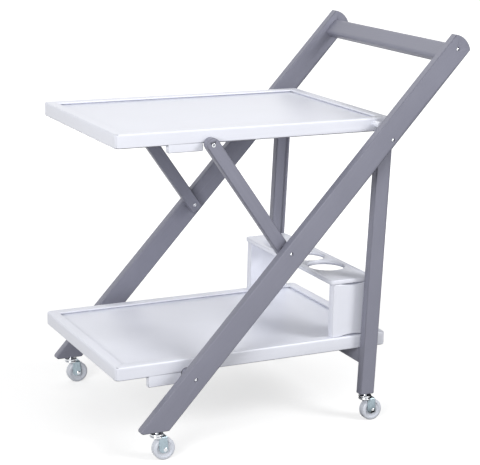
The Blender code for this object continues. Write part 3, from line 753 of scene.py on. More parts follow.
def plastic(name, color, deep, roughness):
    """Moulded plastic with a slow change of tone and a fine surface, and its Principled shader."""
    sizes = bpy.context.scene.trolley_paint
    return patterned(
        name, painted_wood_group(), color, sizes.relief / 2, (0, 0, 0),
        Paint=(*color, 1), Shade=(*deep, 1), Grain_Size=sizes.grain_size, Grain_Stretch=1,
        Cloud_Size=sizes.cloud_size / PLASTIC_CLOUDS, Roller_Size=sizes.roller_size,
        Roughness=roughness,
    )


@cache
def grey_paint(direction):
    """The grey paint of the frame, over grain that lies along one kind of board."""
    sizes = bpy.context.scene.trolley_paint
    turn = grain_turns()[direction]
    return paint(f"Grey paint {direction}", sizes.grey, sizes.grey_shade, sizes.grey_roughness, turn)


@cache
def white_paint(direction):
    """The white paint of the trays and the holder, over grain that lies along one kind of board."""
    sizes = bpy.context.scene.trolley_paint
    turn = grain_turns()[direction]
    return paint(f"White paint {direction}", sizes.white, sizes.white_shade, sizes.white_roughness, turn)


@cache
def bright_zinc():
    """The bright plating of the bolts, rods, stems and rivets."""
    sizes = bpy.context.scene.trolley_metal
    return plating("Bright zinc", sizes.zinc, sizes.zinc_roughness, sizes.zinc_relief)


@cache
def blue_zinc():
    """The duller, bluish plating of the forks."""
    sizes = bpy.context.scene.trolley_metal
    return plating("Blue zinc", sizes.blue_zinc, sizes.blue_roughness, sizes.blue_relief)


@cache
def washer_plastic():
    """The black plastic between the boards."""
    sizes = bpy.context.scene.trolley_metal
    return plastic("Washer plastic", sizes.washer, sizes.washer, sizes.washer_roughness)[0]


@cache
def wheel_plastic():
    """Milky plastic that lets a little light through."""
    sizes = bpy.context.scene.trolley_metal
    made, shader = plastic("Wheel plastic", sizes.wheel, sizes.wheel_deep, sizes.wheel_roughness)
    shader.inputs["Transmission Weight"].default_value = sizes.wheel_clearness
    shader.inputs["IOR"].default_value = sizes.wheel_bending
    return made


def grain_turns():
    """Rotations that lay each board's grain along X of its pattern."""
    bolt, rod = centre_of("handle_bolt_left"), centre_of("rod_bolt_left")
    pivot, foot = centre_of("rear_pivot_bolt_left"), centre_of("rear_caster_left_stem")
    low, head = centre_of("brace_pivot_bolt_left"), centre_of("upper_rod")
    return {
        "lengthwise": (0, 0, 0),
        "crosswise": (0, 0, -math.pi / 2),
        "upright": (0, math.pi / 2, 0),
        "long_leg": (0, math.atan2(bolt.z - rod.z, bolt.x - rod.x), 0),
        "rear_leg": (0, math.atan2(pivot.z - foot.z, pivot.x - foot.x), 0),
        "brace": (0, math.atan2(head.z - low.z, head.x - low.x), 0),
    }


def smooth(mesh, angle):
    """Shades a mesh smooth, apart from edges that are sharper than an angle."""
    mesh.shade_smooth()
    mesh.set_sharp_from_angle(angle=angle)


def flatten(piece):
    """Keeps a board's wide faces flat in the shading, next to its rounded edges."""
    weigh = piece.modifiers.new("flat faces stay flat", "WEIGHTED_NORMAL")
    weigh.keep_sharp = True


def painted_board(node, material, slot):
    """A smooth copy of a CAD board, whose eased edges shade as rounded ones."""
    build = bmesh.new()
    build.from_mesh(frame["nodes"][node].data)
    bmesh.ops.remove_doubles(build, verts=build.verts, dist=WELD)
    mesh = bpy.data.meshes.new(f"painted_{node}")
    build.to_mesh(mesh)
    build.free()
    mesh.materials.clear()
    mesh.materials.append(material)
    mesh.polygons.foreach_set("material_index", [0] * len(mesh.polygons))
    smooth(mesh, SMOOTH_ANGLE)
    piece = add_object(f"painted_{node}", mesh)
    flatten(piece)
    return settle(piece, body_of(node), slot, node)


@cache
def turned_tree():
    """Geometry nodes that turn a profile about an axis and set a copy at each place, facing its way."""
    tree, start, end = new_group(
        "Turned Fittings", "GeometryNodeTree",
        [
            ("Places", "NodeSocketGeometry"), ("Profile", "NodeSocketObject"),
            ("Core Radius", "NodeSocketFloat"), ("Divisions", "NodeSocketInt"),
            ("Hex Socket", "NodeSocketBool"), ("Socket Width", "NodeSocketFloat"),
            ("Socket Depth", "NodeSocketFloat"), ("Finish", "NodeSocketMaterial"),
        ],
        [("Fittings", "NodeSocketGeometry")],
    )
    given = start.outputs
    profile = add_node(tree, "GeometryNodeObjectInfo", Object=given["Profile"])
    section = add_node(tree, "GeometryNodeMeshToCurve", Mesh=profile.outputs["Geometry"])
    circle = add_node(
        tree, "GeometryNodeCurvePrimitiveCircle", Resolution=given["Divisions"], Radius=given["Core Radius"]
    )
    upright = add_node(tree, "GeometryNodeSetCurveNormal", {"mode": "Z_UP"}, Curve=circle.outputs["Curve"])
    swept = add_node(
        tree, "GeometryNodeCurveToMesh", Curve=upright.outputs["Curve"],
        Profile_Curve=section.outputs["Curve"],
    )
    closed = add_node(
        tree, "GeometryNodeMergeByDistance", Geometry=swept.outputs["Mesh"], Distance=POLE_WELD
    )
    # The width is measured over a hexagon's flats, and the cylinder's radius out to its corners.
    corner = calculate(tree, "DIVIDE", given["Socket Width"], 2 * math.cos(math.pi / 6))
    deep = calculate(tree, "MULTIPLY", given["Socket Depth"], 2)
    key = add_node(tree, "GeometryNodeMeshCylinder", Vertices=6, Radius=corner, Depth=deep)
    flipped = add_node(tree, "GeometryNodeFlipFaces", Mesh=closed.outputs["Geometry"])
    sunk = add_node(tree, "GeometryNodeMeshBoolean", {"operation": "DIFFERENCE"})
    tree.links.new(flipped.outputs["Mesh"], sunk.inputs["Mesh 1"])
    tree.links.new(key.outputs["Mesh"], sunk.inputs["Mesh 2"])
    chosen = add_node(tree, "GeometryNodeSwitch", {"input_type": "GEOMETRY"}, Switch=given["Hex Socket"])
    tree.links.new(flipped.outputs["Mesh"], chosen.inputs["False"])
    tree.links.new(sunk.outputs["Mesh"], chosen.inputs["True"])
    facing = add_node(
        tree, "GeometryNodeInputNamedAttribute", {"data_type": "FLOAT_VECTOR"}, Name="facing"
    )
    turn = add_node(
        tree, "FunctionNodeAlignRotationToVector", {"axis": "Z"}, Vector=facing.outputs["Attribute"]
    )
    copies = add_node(
        tree, "GeometryNodeInstanceOnPoints", Points=given["Places"],
        Instance=chosen.outputs["Output"], Rotation=turn.outputs["Rotation"],
    )
    real = add_node(tree, "GeometryNodeRealizeInstances", Geometry=copies.outputs["Instances"])
    finished = add_node(
        tree, "GeometryNodeSetMaterial", Geometry=real.outputs["Geometry"], Material=given["Finish"]
    )
    tree.links.new(finished.outputs["Geometry"], end.inputs["Fittings"])
    return tree


def set_inputs(modifier, values):
    """Gives a geometry modifier its inputs by their labels."""
    for item in modifier.node_group.interface.items_tree:
        if item.item_type == "SOCKET" and item.in_out == "INPUT" and item.name in values:
            modifier[item.identifier] = values[item.name]


def baked(name, holder, angle):
    """A plain object from what a holder's modifiers make, with the holder removed."""
    graph = bpy.context.evaluated_depsgraph_get()
    mesh = bpy.data.meshes.new_from_object(holder.evaluated_get(graph))
    bpy.data.objects.remove(holder)
    mesh.name = name
    build = bmesh.new()
    build.from_mesh(mesh)
    bmesh.ops.recalc_face_normals(build, faces=build.faces)
    build.to_mesh(mesh)
    build.free()
    smooth(mesh, angle)
    return add_object(name, mesh)


def turned(name, profile, places, material, socket=(0, 0), steps=0):
    """Turned fittings: one (radius, height) profile, from top to foot, at each (place, facing)."""
    sizes = bpy.context.scene.trolley_fittings
    outline = bpy.data.meshes.new(f"{name}_outline")
    points = [(radius - CORE, -height, 0) for radius, height in profile]
    outline.from_pydata(points, [(index, index + 1) for index in range(len(points) - 1)], [])
    guide = add_object(f"{name}_outline", outline)
    mesh = bpy.data.meshes.new(f"{name}_places")
    mesh.from_pydata([place for place, facing in places], [], [])
    facings = mesh.attributes.new("facing", "FLOAT_VECTOR", "POINT")
    facings.data.foreach_set("vector", [value for place, facing in places for value in facing])
    holder = add_object(f"{name}_places", mesh)
    modifier = holder.modifiers.new("turned fittings", "NODES")
    modifier.node_group = turned_tree()
    set_inputs(modifier, {
        "Profile": guide, "Core Radius": CORE, "Divisions": steps or sizes.steps,
        "Hex Socket": socket[0] > 0, "Socket Width": socket[0], "Socket Depth": socket[1],
        "Finish": material,
    })
    piece = baked(name, holder, TURNED_ANGLE)
    bpy.data.objects.remove(guide)
    return piece


def arc(centre, radius, first, last, steps):
    """(radius, height) points along an arc, from one angle to another, in degrees."""
    middle, base = centre
    turns = [math.radians(first + (last - first) * step / steps) for step in range(steps + 1)]
    return [(middle + radius * math.cos(turn), base + radius * math.sin(turn)) for turn in turns]


def ring_profile(outer, bore, low, high, edge):
    """A ring with a rounded rim, closed back to its first point."""
    top = arc((outer - edge, high - edge), edge, 90, 0, RING_STEPS)
    foot = arc((outer - edge, low + edge), edge, 0, -90, RING_STEPS)
    return [(bore, high), *top, *foot, (bore, low), (bore, high)]


def half_size(node):
    """Half of a CAD node's size along each axis."""
    low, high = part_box(node)
    return (high - low) / 2


def facing_out(node):
    """The way out across the trolley, on the side where a node lies."""
    return (0, math.copysign(1, centre_of(node).y), 0)


def outer_end(node):
    """The middle of a node's outermost face across the trolley."""
    low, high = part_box(node)
    centre = (low + high) / 2
    centre.y = high.y if centre.y > 0 else low.y
    return centre


class TROLLEY_OT_grey_boards(bpy.types.Operator):
    """Paint the legs, the braces and the crossbar grey"""

    bl_idname = "trolley.grey_boards"
    bl_label = "Grey Boards"

    def execute(self, context):
        for side in SIDES:
            for board in ("long_leg", "rear_leg", "brace"):
                painted_board(f"{board}_{side}", grey_paint(board), "grey_wood")
        painted_board("crossbar", grey_paint("crosswise"), "grey_wood")
        return {"FINISHED"}


class TROLLEY_OT_handle(bpy.types.Operator):
    """Make the rounded push bar between the long legs"""

    bl_idname = "trolley.handle"
    bl_label = "Push Bar"

    def execute(self, context):
        sizes = context.scene.trolley_handle
        tree, start, end = new_group(
            "Push Bar", "GeometryNodeTree",
            [
                ("Line", "NodeSocketGeometry"), ("Thickness", "NodeSocketFloat"),
                ("Height", "NodeSocketFloat"), ("Rounding", "NodeSocketFloat"),
                ("Divisions", "NodeSocketInt"), ("Turn", "NodeSocketFloat"),
                ("Finish", "NodeSocketMaterial"),
            ],
            [("Bar", "NodeSocketGeometry")],
        )
        given = start.outputs
        line = add_node(tree, "GeometryNodeMeshToCurve", Mesh=given["Line"])
        upright = add_node(
            tree, "GeometryNodeSetCurveNormal", {"mode": "Z_UP"}, Curve=line.outputs["Curve"]
        )
        section = add_node(
            tree, "GeometryNodeCurvePrimitiveQuadrilateral", Width=given["Thickness"], Height=given["Height"]
        )
        soft = add_node(
            tree, "GeometryNodeFilletCurve", {"mode": "POLY"}, Curve=section.outputs["Curve"],
            Radius=given["Rounding"], Count=given["Divisions"],
        )
        spin = add_node(tree, "ShaderNodeCombineXYZ", Z=given["Turn"])
        leaning = add_node(
            tree, "GeometryNodeTransform", Geometry=soft.outputs["Curve"], Rotation=spin.outputs["Vector"]
        )
        bar = add_node(
            tree, "GeometryNodeCurveToMesh", Curve=upright.outputs["Curve"],
            Profile_Curve=leaning.outputs["Geometry"], Fill_Caps=True,
        )
        real = add_node(tree, "GeometryNodeRealizeInstances", Geometry=bar.outputs["Mesh"])
        finished = add_node(
            tree, "GeometryNodeSetMaterial", Geometry=real.outputs["Geometry"], Material=given["Finish"]
        )
        tree.links.new(finished.outputs["Geometry"], end.inputs["Bar"])
        low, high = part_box("handle_bar")
        middle = (low + high) / 2
        mesh = bpy.data.meshes.new("push_bar_line")
        mesh.from_pydata([(middle.x, low.y, middle.z), (middle.x, high.y, middle.z)], [(0, 1)], [])
        holder = add_object("push_bar_line", mesh)
        modifier = holder.modifiers.new("push bar", "NODES")
        modifier.node_group = tree
        lean = grain_turns()["long_leg"][1]
        set_inputs(modifier, {
            "Thickness": sizes.thickness, "Height": sizes.height, "Rounding": sizes.rounding,
            "Divisions": sizes.steps, "Turn": math.pi / 2 - lean, "Finish": grey_paint("crosswise"),
        })
        piece = baked("push_bar", holder, SMOOTH_ANGLE)
        flatten(piece)
        settle(piece, "long_frame", "grey_wood", "handle_bar")
        return {"FINISHED"}


class TROLLEY_OT_trays(bpy.types.Operator):
    """Paint both trays white, with their cleats, pins and screws"""

    bl_idname = "trolley.trays"
    bl_label = "Trays"

    def execute(self, context):
        for tray in ("bottom_tray", "top_tray"):
            for rim, direction in RIM_GRAIN.items():
                node = f"{tray}_rim_{rim}"
                board = painted_board(node, white_paint(direction), "white_wood")
                self.open_seam(board, centre_of(node), f"{tray}_panel")
            painted_board(f"{tray}_panel", white_paint("lengthwise"), "white_wood")
            cleats = [f"{tray}_cleat_{side}" for side in SIDES]
            for node in cleats:
                cleat = painted_board(node, white_paint("lengthwise"), "white_wood")
                self.close_seam(cleat, *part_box(node))
            self.screws(tray, cleats)
        self.pins()
        return {"FINISHED"}

    def screws(self, tray, cleats):
        """Two screws up through each cleat."""
        sizes = bpy.context.scene.trolley_fittings
        radius, stand = sizes.screw / 2, sizes.screw_stand
        places = []
        for cleat in cleats:
            low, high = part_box(cleat)
            for share in (sizes.screw_inset, 1 - sizes.screw_inset):
                x = low.x + (high.x - low.x) * share
                places.append(((x, (low.y + high.y) / 2, low.z - stand), (0, 0, -1)))
        profile = [(0, 0), *arc((radius - stand, -stand), stand, 90, 0, EDGE_STEPS)]
        profile += [(radius, -2 * stand), (0, -2 * stand)]
        socket = (sizes.screw_socket, stand)
        piece = turned(f"{tray}_screws", profile, places, bright_zinc(), socket, SCREW_STEPS)
        settle(piece, tray, "zinc")

    def pins(self):
        """The round pins at the upper tray's rear, which lie on the rear legs."""
        nodes = [f"top_tray_pin_{side}" for side in SIDES]
        half, edge = half_size(nodes[0]), bpy.context.scene.trolley_fittings.pin_edge
        profile = [(0, 0), *arc((half.x - edge, -edge), edge, 90, 0, ARC_STEPS)]
        profile += [(half.x, -2 * half.y), (0, -2 * half.y)]
        places = [(outer_end(node), facing_out(node)) for node in nodes]
        piece = turned("tray_pins", profile, places, white_paint("crosswise"))
        settle(piece, "top_tray", "white_wood", *nodes)

    def open_seam(self, board, centre, panel):
        """Cuts the narrow dark slot along a rim's inner face, right over the panel."""
        sizes = bpy.context.scene.trolley_fittings
        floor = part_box(panel)[1].z
        ceiling = floor + sizes.slot_height
        inward = centre_of(panel) - centre
        inward = Vector((inward.x, inward.y, 0)).normalized()
        build = bmesh.new()
        build.from_mesh(board.data)
        for height in (floor, ceiling):
            geometry = [*build.verts, *build.edges, *build.faces]
            bmesh.ops.bisect_plane(build, geom=geometry, plane_co=(0, 0, height), plane_no=(0, 0, 1))
        strip = []
        for face in build.faces:
            heights = [vertex.co.z for vertex in face.verts]
            level = min(heights) > floor - WELD and max(heights) < ceiling + WELD
            if level and face.normal.dot(inward) > FACING:
                strip.append(face)
        for item in bmesh.ops.extrude_face_region(build, geom=strip)["geom"]:
            if isinstance(item, bmesh.types.BMVert):
                item.co -= inward * sizes.slot_depth
        bmesh.ops.delete(build, geom=[face for face in strip if face.is_valid], context="FACES_ONLY")
        bmesh.ops.recalc_face_normals(build, faces=build.faces)
        build.to_mesh(board.data)
        build.free()
        smooth(board.data, SMOOTH_ANGLE)

    def close_seam(self, cleat, low, high):
        """Draws a cleat's upper outer edge up as a fin of paint, over the rim's eased lower edge."""
        sizes = bpy.context.scene.trolley_fittings
        outer = max(abs(low.y), abs(high.y))
        for vertex in cleat.data.vertices:
            if abs(vertex.co.y) > outer - WELD and vertex.co.z > (low.z + high.z) / 2:
                vertex.co.z = high.z + sizes.seam


class TROLLEY_OT_bottle_holder(bpy.types.Operator):
    """Paint the bottle holder white"""

    bl_idname = "trolley.bottle_holder"
    bl_label = "Bottle Holder"

    def execute(self, context):
        painted_board("holder_board", white_paint("crosswise"), "white_wood")
        for side in SIDES:
            painted_board(f"holder_side_{side}", white_paint("upright"), "white_wood")
        return {"FINISHED"}


class TROLLEY_OT_fittings(bpy.types.Operator):
    """Make the bolts, washers, spacers and rods of the frame"""

    bl_idname = "trolley.fittings"
    bl_label = "Bolts, Washers and Rods"

    def execute(self, context):
        sizes = context.scene.trolley_fittings
        for kind in ("handle_bolt", "rear_pivot_bolt", "brace_pivot_bolt", "rod_bolt"):
            self.bolts(kind)
        washer = (sizes.washer_bore, sizes.washer_edge, washer_plastic(), "black_plastic")
        self.rings("rear_pivot_washer", *washer)
        self.rings("brace_pivot_washer", *washer)
        spacer = (sizes.spacer_bore, sizes.spacer_edge, grey_paint("crosswise"), "grey_wood")
        self.rings("rod_spacer", *spacer, sizes.rod_washer)
        # The rod's black washers: black plastic, whose black also stands for painted shade in the gap by the
        # spacers.
        self.washers()
        self.nuts()
        self.rod("lower_rod", 0)
        self.rod("upper_rod", sizes.rod_bore / 2)
        return {"FINISHED"}

    def bolts(self, kind):
        """A pair of bolts with plain domed heads."""
        sizes = bpy.context.scene.trolley_fittings
        nodes = [f"{kind}_{side}" for side in SIDES]
        half = half_size(nodes[0])
        rise, rim, shank = sizes.head_round, half.x, sizes.shank / 2
        dome = (rim * rim + rise * rise) / (2 * rise)
        spread = math.degrees(math.asin(rim / dome))
        profile = [(0, 0), *arc((0, -dome), dome, 90, 90 - spread, DOME_STEPS)[1:]]
        profile += [(rim, -sizes.head_height), (shank, -sizes.head_height)]
        profile += [(shank, -2 * half.y), (0, -2 * half.y)]
        places = [(outer_end(node), facing_out(node)) for node in nodes]
        settle(turned(f"{kind}s", profile, places, bright_zinc()), "long_frame", "zinc", *nodes)

    def rings(self, kind, bore, edge, material, slot, short=0):
        """A pair of rings, one on each side, shortened at their inner ends where a washer lies there."""
        nodes = [f"{kind}_{side}" for side in SIDES]
        half = half_size(nodes[0])
        profile = ring_profile(half.x, bore / 2, short - half.y, half.y, edge)
        places = [(centre_of(node), facing_out(node)) for node in nodes]
        settle(turned(f"{kind}s", profile, places, material), body_of(nodes[0]), slot, *nodes)

    def washers(self):
        """Black plastic washers between the lower tray and the spacers on its rod; their black also paints
        the shade of the gap there.
        """
        sizes = bpy.context.scene.trolley_fittings
        nodes = [f"rod_spacer_{side}" for side in SIDES]
        half, thick = half_size(nodes[0]), sizes.rod_washer - CLEARANCE
        edge = thick / 3
        profile = ring_profile(half.x, sizes.spacer_bore / 2, -half.y, thick - half.y, edge)
        places = [(centre_of(node), facing_out(node)) for node in nodes]
        piece = turned("rod_washers", profile, places, washer_plastic())
        settle(piece, body_of(nodes[0]), "black_plastic")

    def nuts(self):
        """The sleeve nuts of the braces' bolts, which show on the braces' inner faces."""
        sizes = bpy.context.scene.trolley_fittings
        radius, rise = sizes.nut / 2, sizes.nut_height
        soft, seat = rise / 2, NUT_SEAT - rise
        profile = [(0, 0), *arc((radius - soft, -soft), soft, 90, 0, ARC_STEPS)]
        profile += [(radius, seat), (0, seat)]
        places = []
        for side, way in SIDES.items():
            bolt, board = centre_of(f"brace_pivot_bolt_{side}"), f"brace_{side}"
            inner = abs(centre_of(board).y) - half_size(board).y
            places.append(((bolt.x, way * (inner - rise), bolt.z), (0, -way, 0)))
        piece = turned("sleeve_nuts", profile, places, bright_zinc(), (sizes.nut_socket, rise / 2))
        settle(piece, "long_frame", "zinc")

    def rod(self, node, bore):
        """A rod across the trolley, with a hole in each end where it has one."""
        sizes = bpy.context.scene.trolley_fittings
        half, edge = half_size(node), sizes.rod_edge
        depth = half.y - sizes.rod_bore_depth
        top = [(bore, half.y), *arc((half.x - edge, half.y - edge), edge, 90, 0, EDGE_STEPS)]
        profile = top + [(radius, -height) for radius, height in top[::-1]]
        if bore:
            profile = [(0, depth), (bore, depth), *profile, (bore, -depth), (0, -depth)]
        piece = turned(f"{node}_turned", profile, [(centre_of(node), (0, 1, 0))], bright_zinc())
        settle(piece, body_of(node), "zinc", node)


class TROLLEY_OT_caster_stems(bpy.types.Operator):
    """Make the casters' stems, with the nut and the cup under each foot"""

    bl_idname = "trolley.caster_stems"
    bl_label = "Caster Stems"

    def execute(self, context):
        sizes = context.scene.trolley_caster
        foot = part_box("long_leg_left")[0].z - CLEARANCE
        cup_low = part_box("front_caster_left_fork")[1].z + CLEARANCE
        cup_top = cup_low + sizes.cup_height
        for end, body in (("front", "long_frame"), ("rear", "rear_frame")):
            nodes = [f"{end}_caster_{side}_stem" for side in SIDES]
            low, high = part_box(nodes[0])
            cup, soft = (high.x - low.x) / 2, sizes.cup_round
            profile = [(0, high.z), (sizes.stem / 2, high.z), (sizes.stem / 2, foot)]
            profile += [(sizes.neck / 2, foot), (sizes.neck / 2, cup_top)]
            profile += arc((cup - soft, cup_top - soft), soft, 90, 0, ARC_STEPS)
            profile += arc((cup - soft / 2, cup_low + soft / 2), soft / 2, 0, -90, EDGE_STEPS)
            profile += [(sizes.post / 2, cup_low), (sizes.post / 2, low.z), (0, low.z)]
            places = []
            for node in nodes:
                centre = centre_of(node)
                places.append(((centre.x, centre.y, 0), (0, 0, 1)))
            piece = turned(f"{end}_caster_stems", profile, places, bright_zinc())
            settle(piece, body, "zinc", *nodes)
        return {"FINISHED"}


class TROLLEY_OT_caster_forks(bpy.types.Operator):
    """Press the forks of the casters, with their races and riveted axles"""

    bl_idname = "trolley.caster_forks"
    bl_label = "Caster Forks"

    def execute(self, context):
        for caster in CASTERS:
            self.fork(caster)
            self.race(caster)
            self.axle(caster)
        return {"FINISHED"}

    def fork(self, caster):
        """The bent sheet: a cheek down each side of the wheel, joined by the crown."""
        sizes = bpy.context.scene.trolley_caster
        half, middle = sizes.cheek_width / 2, centre_of(f"{caster}_stem").y
        build = bmesh.new()
        grid = []
        for y, z, front, rear in self.fork_path(caster):
            row = []
            for column, share in enumerate(CHEEK_COLUMNS):
                pressed = column <= STEP_COLUMN and abs(y) > half - WELD
                reach = abs(y) - sizes.cheek_step if pressed else abs(y)
                place = (front + (rear - front) * share, middle + math.copysign(reach, y), z)
                row.append(build.verts.new(place))
            grid.append(row)
        for upper, lower in zip(grid, grid[1:]):
            for column in range(len(CHEEK_COLUMNS) - 1):
                corners = (upper[column], lower[column], lower[column + 1], upper[column + 1])
                build.faces.new(corners)
        bmesh.ops.recalc_face_normals(build, faces=build.faces)
        mesh = bpy.data.meshes.new(f"{caster}_pressed_fork")
        build.to_mesh(mesh)
        build.free()
        mesh.materials.append(blue_zinc())
        sheet = add_object(f"{caster}_sheet", mesh)
        wall = sheet.modifiers.new("sheet", "SOLIDIFY")
        wall.thickness = sizes.sheet
        crown = max(mesh.polygons, key=lambda face: face.center.z)
        wall.offset = -1 if crown.normal.z > 0 else 1
        soft = sheet.modifiers.new("edges", "BEVEL")
        soft.width = sizes.fork_edge
        soft.segments = BEVEL_STEPS
        soft.limit_method = "ANGLE"
        soft.angle_limit = SMOOTH_ANGLE
        piece = baked(f"{caster}_pressed_fork", sheet, SMOOTH_ANGLE)
        settle(piece, f"{caster}_fork", "dark_zinc", f"{caster}_fork")

    def fork_path(self, caster):
        """Rows of the sheet, up one cheek, over the crown and down the other: (y, z, front x, rear x)."""
        sizes = bpy.context.scene.trolley_caster
        low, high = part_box(f"{caster}_fork")
        stem, axle = centre_of(f"{caster}_stem"), centre_of(f"{caster}_wheel")
        half, bend, corner = sizes.cheek_width / 2, sizes.bend, sizes.cheek_round
        top = high.z - sizes.race_height - CLEARANCE
        heel_round = axle.z - low.z
        front, rear = stem.x + sizes.cheek_front, stem.x + sizes.cheek_rear
        heel = axle.x + heel_round

        def front_edge(z):
            """The cheek's front edge, which turns back in a quarter circle at its foot."""
            height = z - low.z
            if height >= corner:
                return front
            return front + corner - math.sqrt(corner * corner - (corner - height) ** 2)

        def rear_edge(z):
            """The cheek's rear edge, round the axle and up to the crown's rear."""
            if z < axle.z:
                return axle.x + math.sqrt(heel_round * heel_round - (axle.z - z) ** 2)
            return heel + (rear - heel) * (z - axle.z) / (top - axle.z)

        quarter = [math.pi / 2 * step / ARC_STEPS for step in range(ARC_STEPS + 1)]
        levels = [low.z + corner * (1 - math.cos(turn)) for turn in quarter[1:]]
        rise = (top - bend - low.z - corner) / CHEEK_ROWS
        levels += [low.z + corner + rise * row for row in range(1, CHEEK_ROWS)]
        path = [(-half, z, front_edge(z), rear_edge(z)) for z in levels]
        for turn in quarter:
            z = top - bend * (1 - math.sin(turn))
            path.append((-half + bend * (1 - math.cos(turn)), z, front, rear_edge(z)))
        return path + [(-y, *rest) for y, *rest in path[::-1]]

    def race(self, caster):
        """The fork's round nose, with the ball race on it."""
        sizes = bpy.context.scene.trolley_caster
        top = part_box(f"{caster}_fork")[1].z
        stem = centre_of(f"{caster}_stem")
        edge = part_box(f"{caster}_stem")[1].x - stem.x
        bore, race = sizes.post / 2 + CLEARANCE, sizes.race / 2
        crown, soft = top - sizes.race_height, sizes.cup_round
        low = crown - sizes.crown_height
        profile = [(bore, top), *arc((race - soft / 2, top - soft / 2), soft / 2, 90, 0, EDGE_STEPS)]
        profile += [(race, crown), *arc((edge - soft, crown - soft), soft, 90, 0, ARC_STEPS)]
        profile += arc((edge - soft, low + soft), soft, 0, -90, ARC_STEPS)
        profile += [(bore, low), (bore, top)]
        piece = turned(f"{caster}_race", profile, [((stem.x, stem.y, 0), (0, 0, 1))], bright_zinc())
        settle(piece, f"{caster}_fork", "zinc")

    def axle(self, caster):
        """The axle, with a rivet's low dome on each end."""
        sizes = bpy.context.scene.trolley_caster
        node = f"{caster}_axle"
        half, radius = half_size(node), sizes.rivet / 2
        seat = sizes.cheek_width / 2 + CLEARANCE
        head = half.y - seat
        dome = (radius * radius + head * head) / (2 * head)
        spread = math.degrees(math.asin(radius / dome))
        top = [(0, half.y), *arc((0, half.y - dome), dome, 90, 90 - spread, RIVET_STEPS)[1:]]
        top.append((sizes.axle / 2, seat))
        profile = top + [(reach, -height) for reach, height in top[::-1]]
        piece = turned(f"{caster}_rivet", profile, [(centre_of(node), (0, 1, 0))], bright_zinc())
        settle(piece, f"{caster}_fork", "zinc", node)


class TROLLEY_OT_wheels(bpy.types.Operator):
    """Make the milky wheels of the casters"""

    bl_idname = "trolley.wheels"
    bl_label = "Wheels"

    def execute(self, context):
        sizes = context.scene.trolley_caster
        hub, recess, deep = sizes.hub / 2, sizes.recess / 2, sizes.recess_depth
        fillet, soft, bore = deep / 2, sizes.tread_round, sizes.axle / 2 + CLEARANCE
        for caster in CASTERS:
            node = f"{caster}_wheel"
            half = half_size(node)
            tyre, width = half.z, half.y
            face = [(bore, width), (hub - fillet, width)]
            face += arc((hub - fillet, width - fillet), fillet, 90, 0, EDGE_STEPS)[1:]
            face += [(hub, width - deep), (recess - fillet, width - deep)]
            face += arc((recess - fillet, width - deep + fillet), fillet, -90, 0, EDGE_STEPS)[1:]
            face += [(recess, width), *arc((tyre - soft, width - soft), soft, 90, 0, TREAD_STEPS)]
            profile = face + [(radius, -height) for radius, height in face[::-1]] + [(bore, width)]
            places = [(centre_of(node), (0, 1, 0))]
            piece = turned(f"{caster}_tyre", profile, places, wheel_plastic(), steps=WHEEL_STEPS)
            settle(piece, f"{caster}_wheel", "clear_plastic", node)
        return {"FINISHED"}


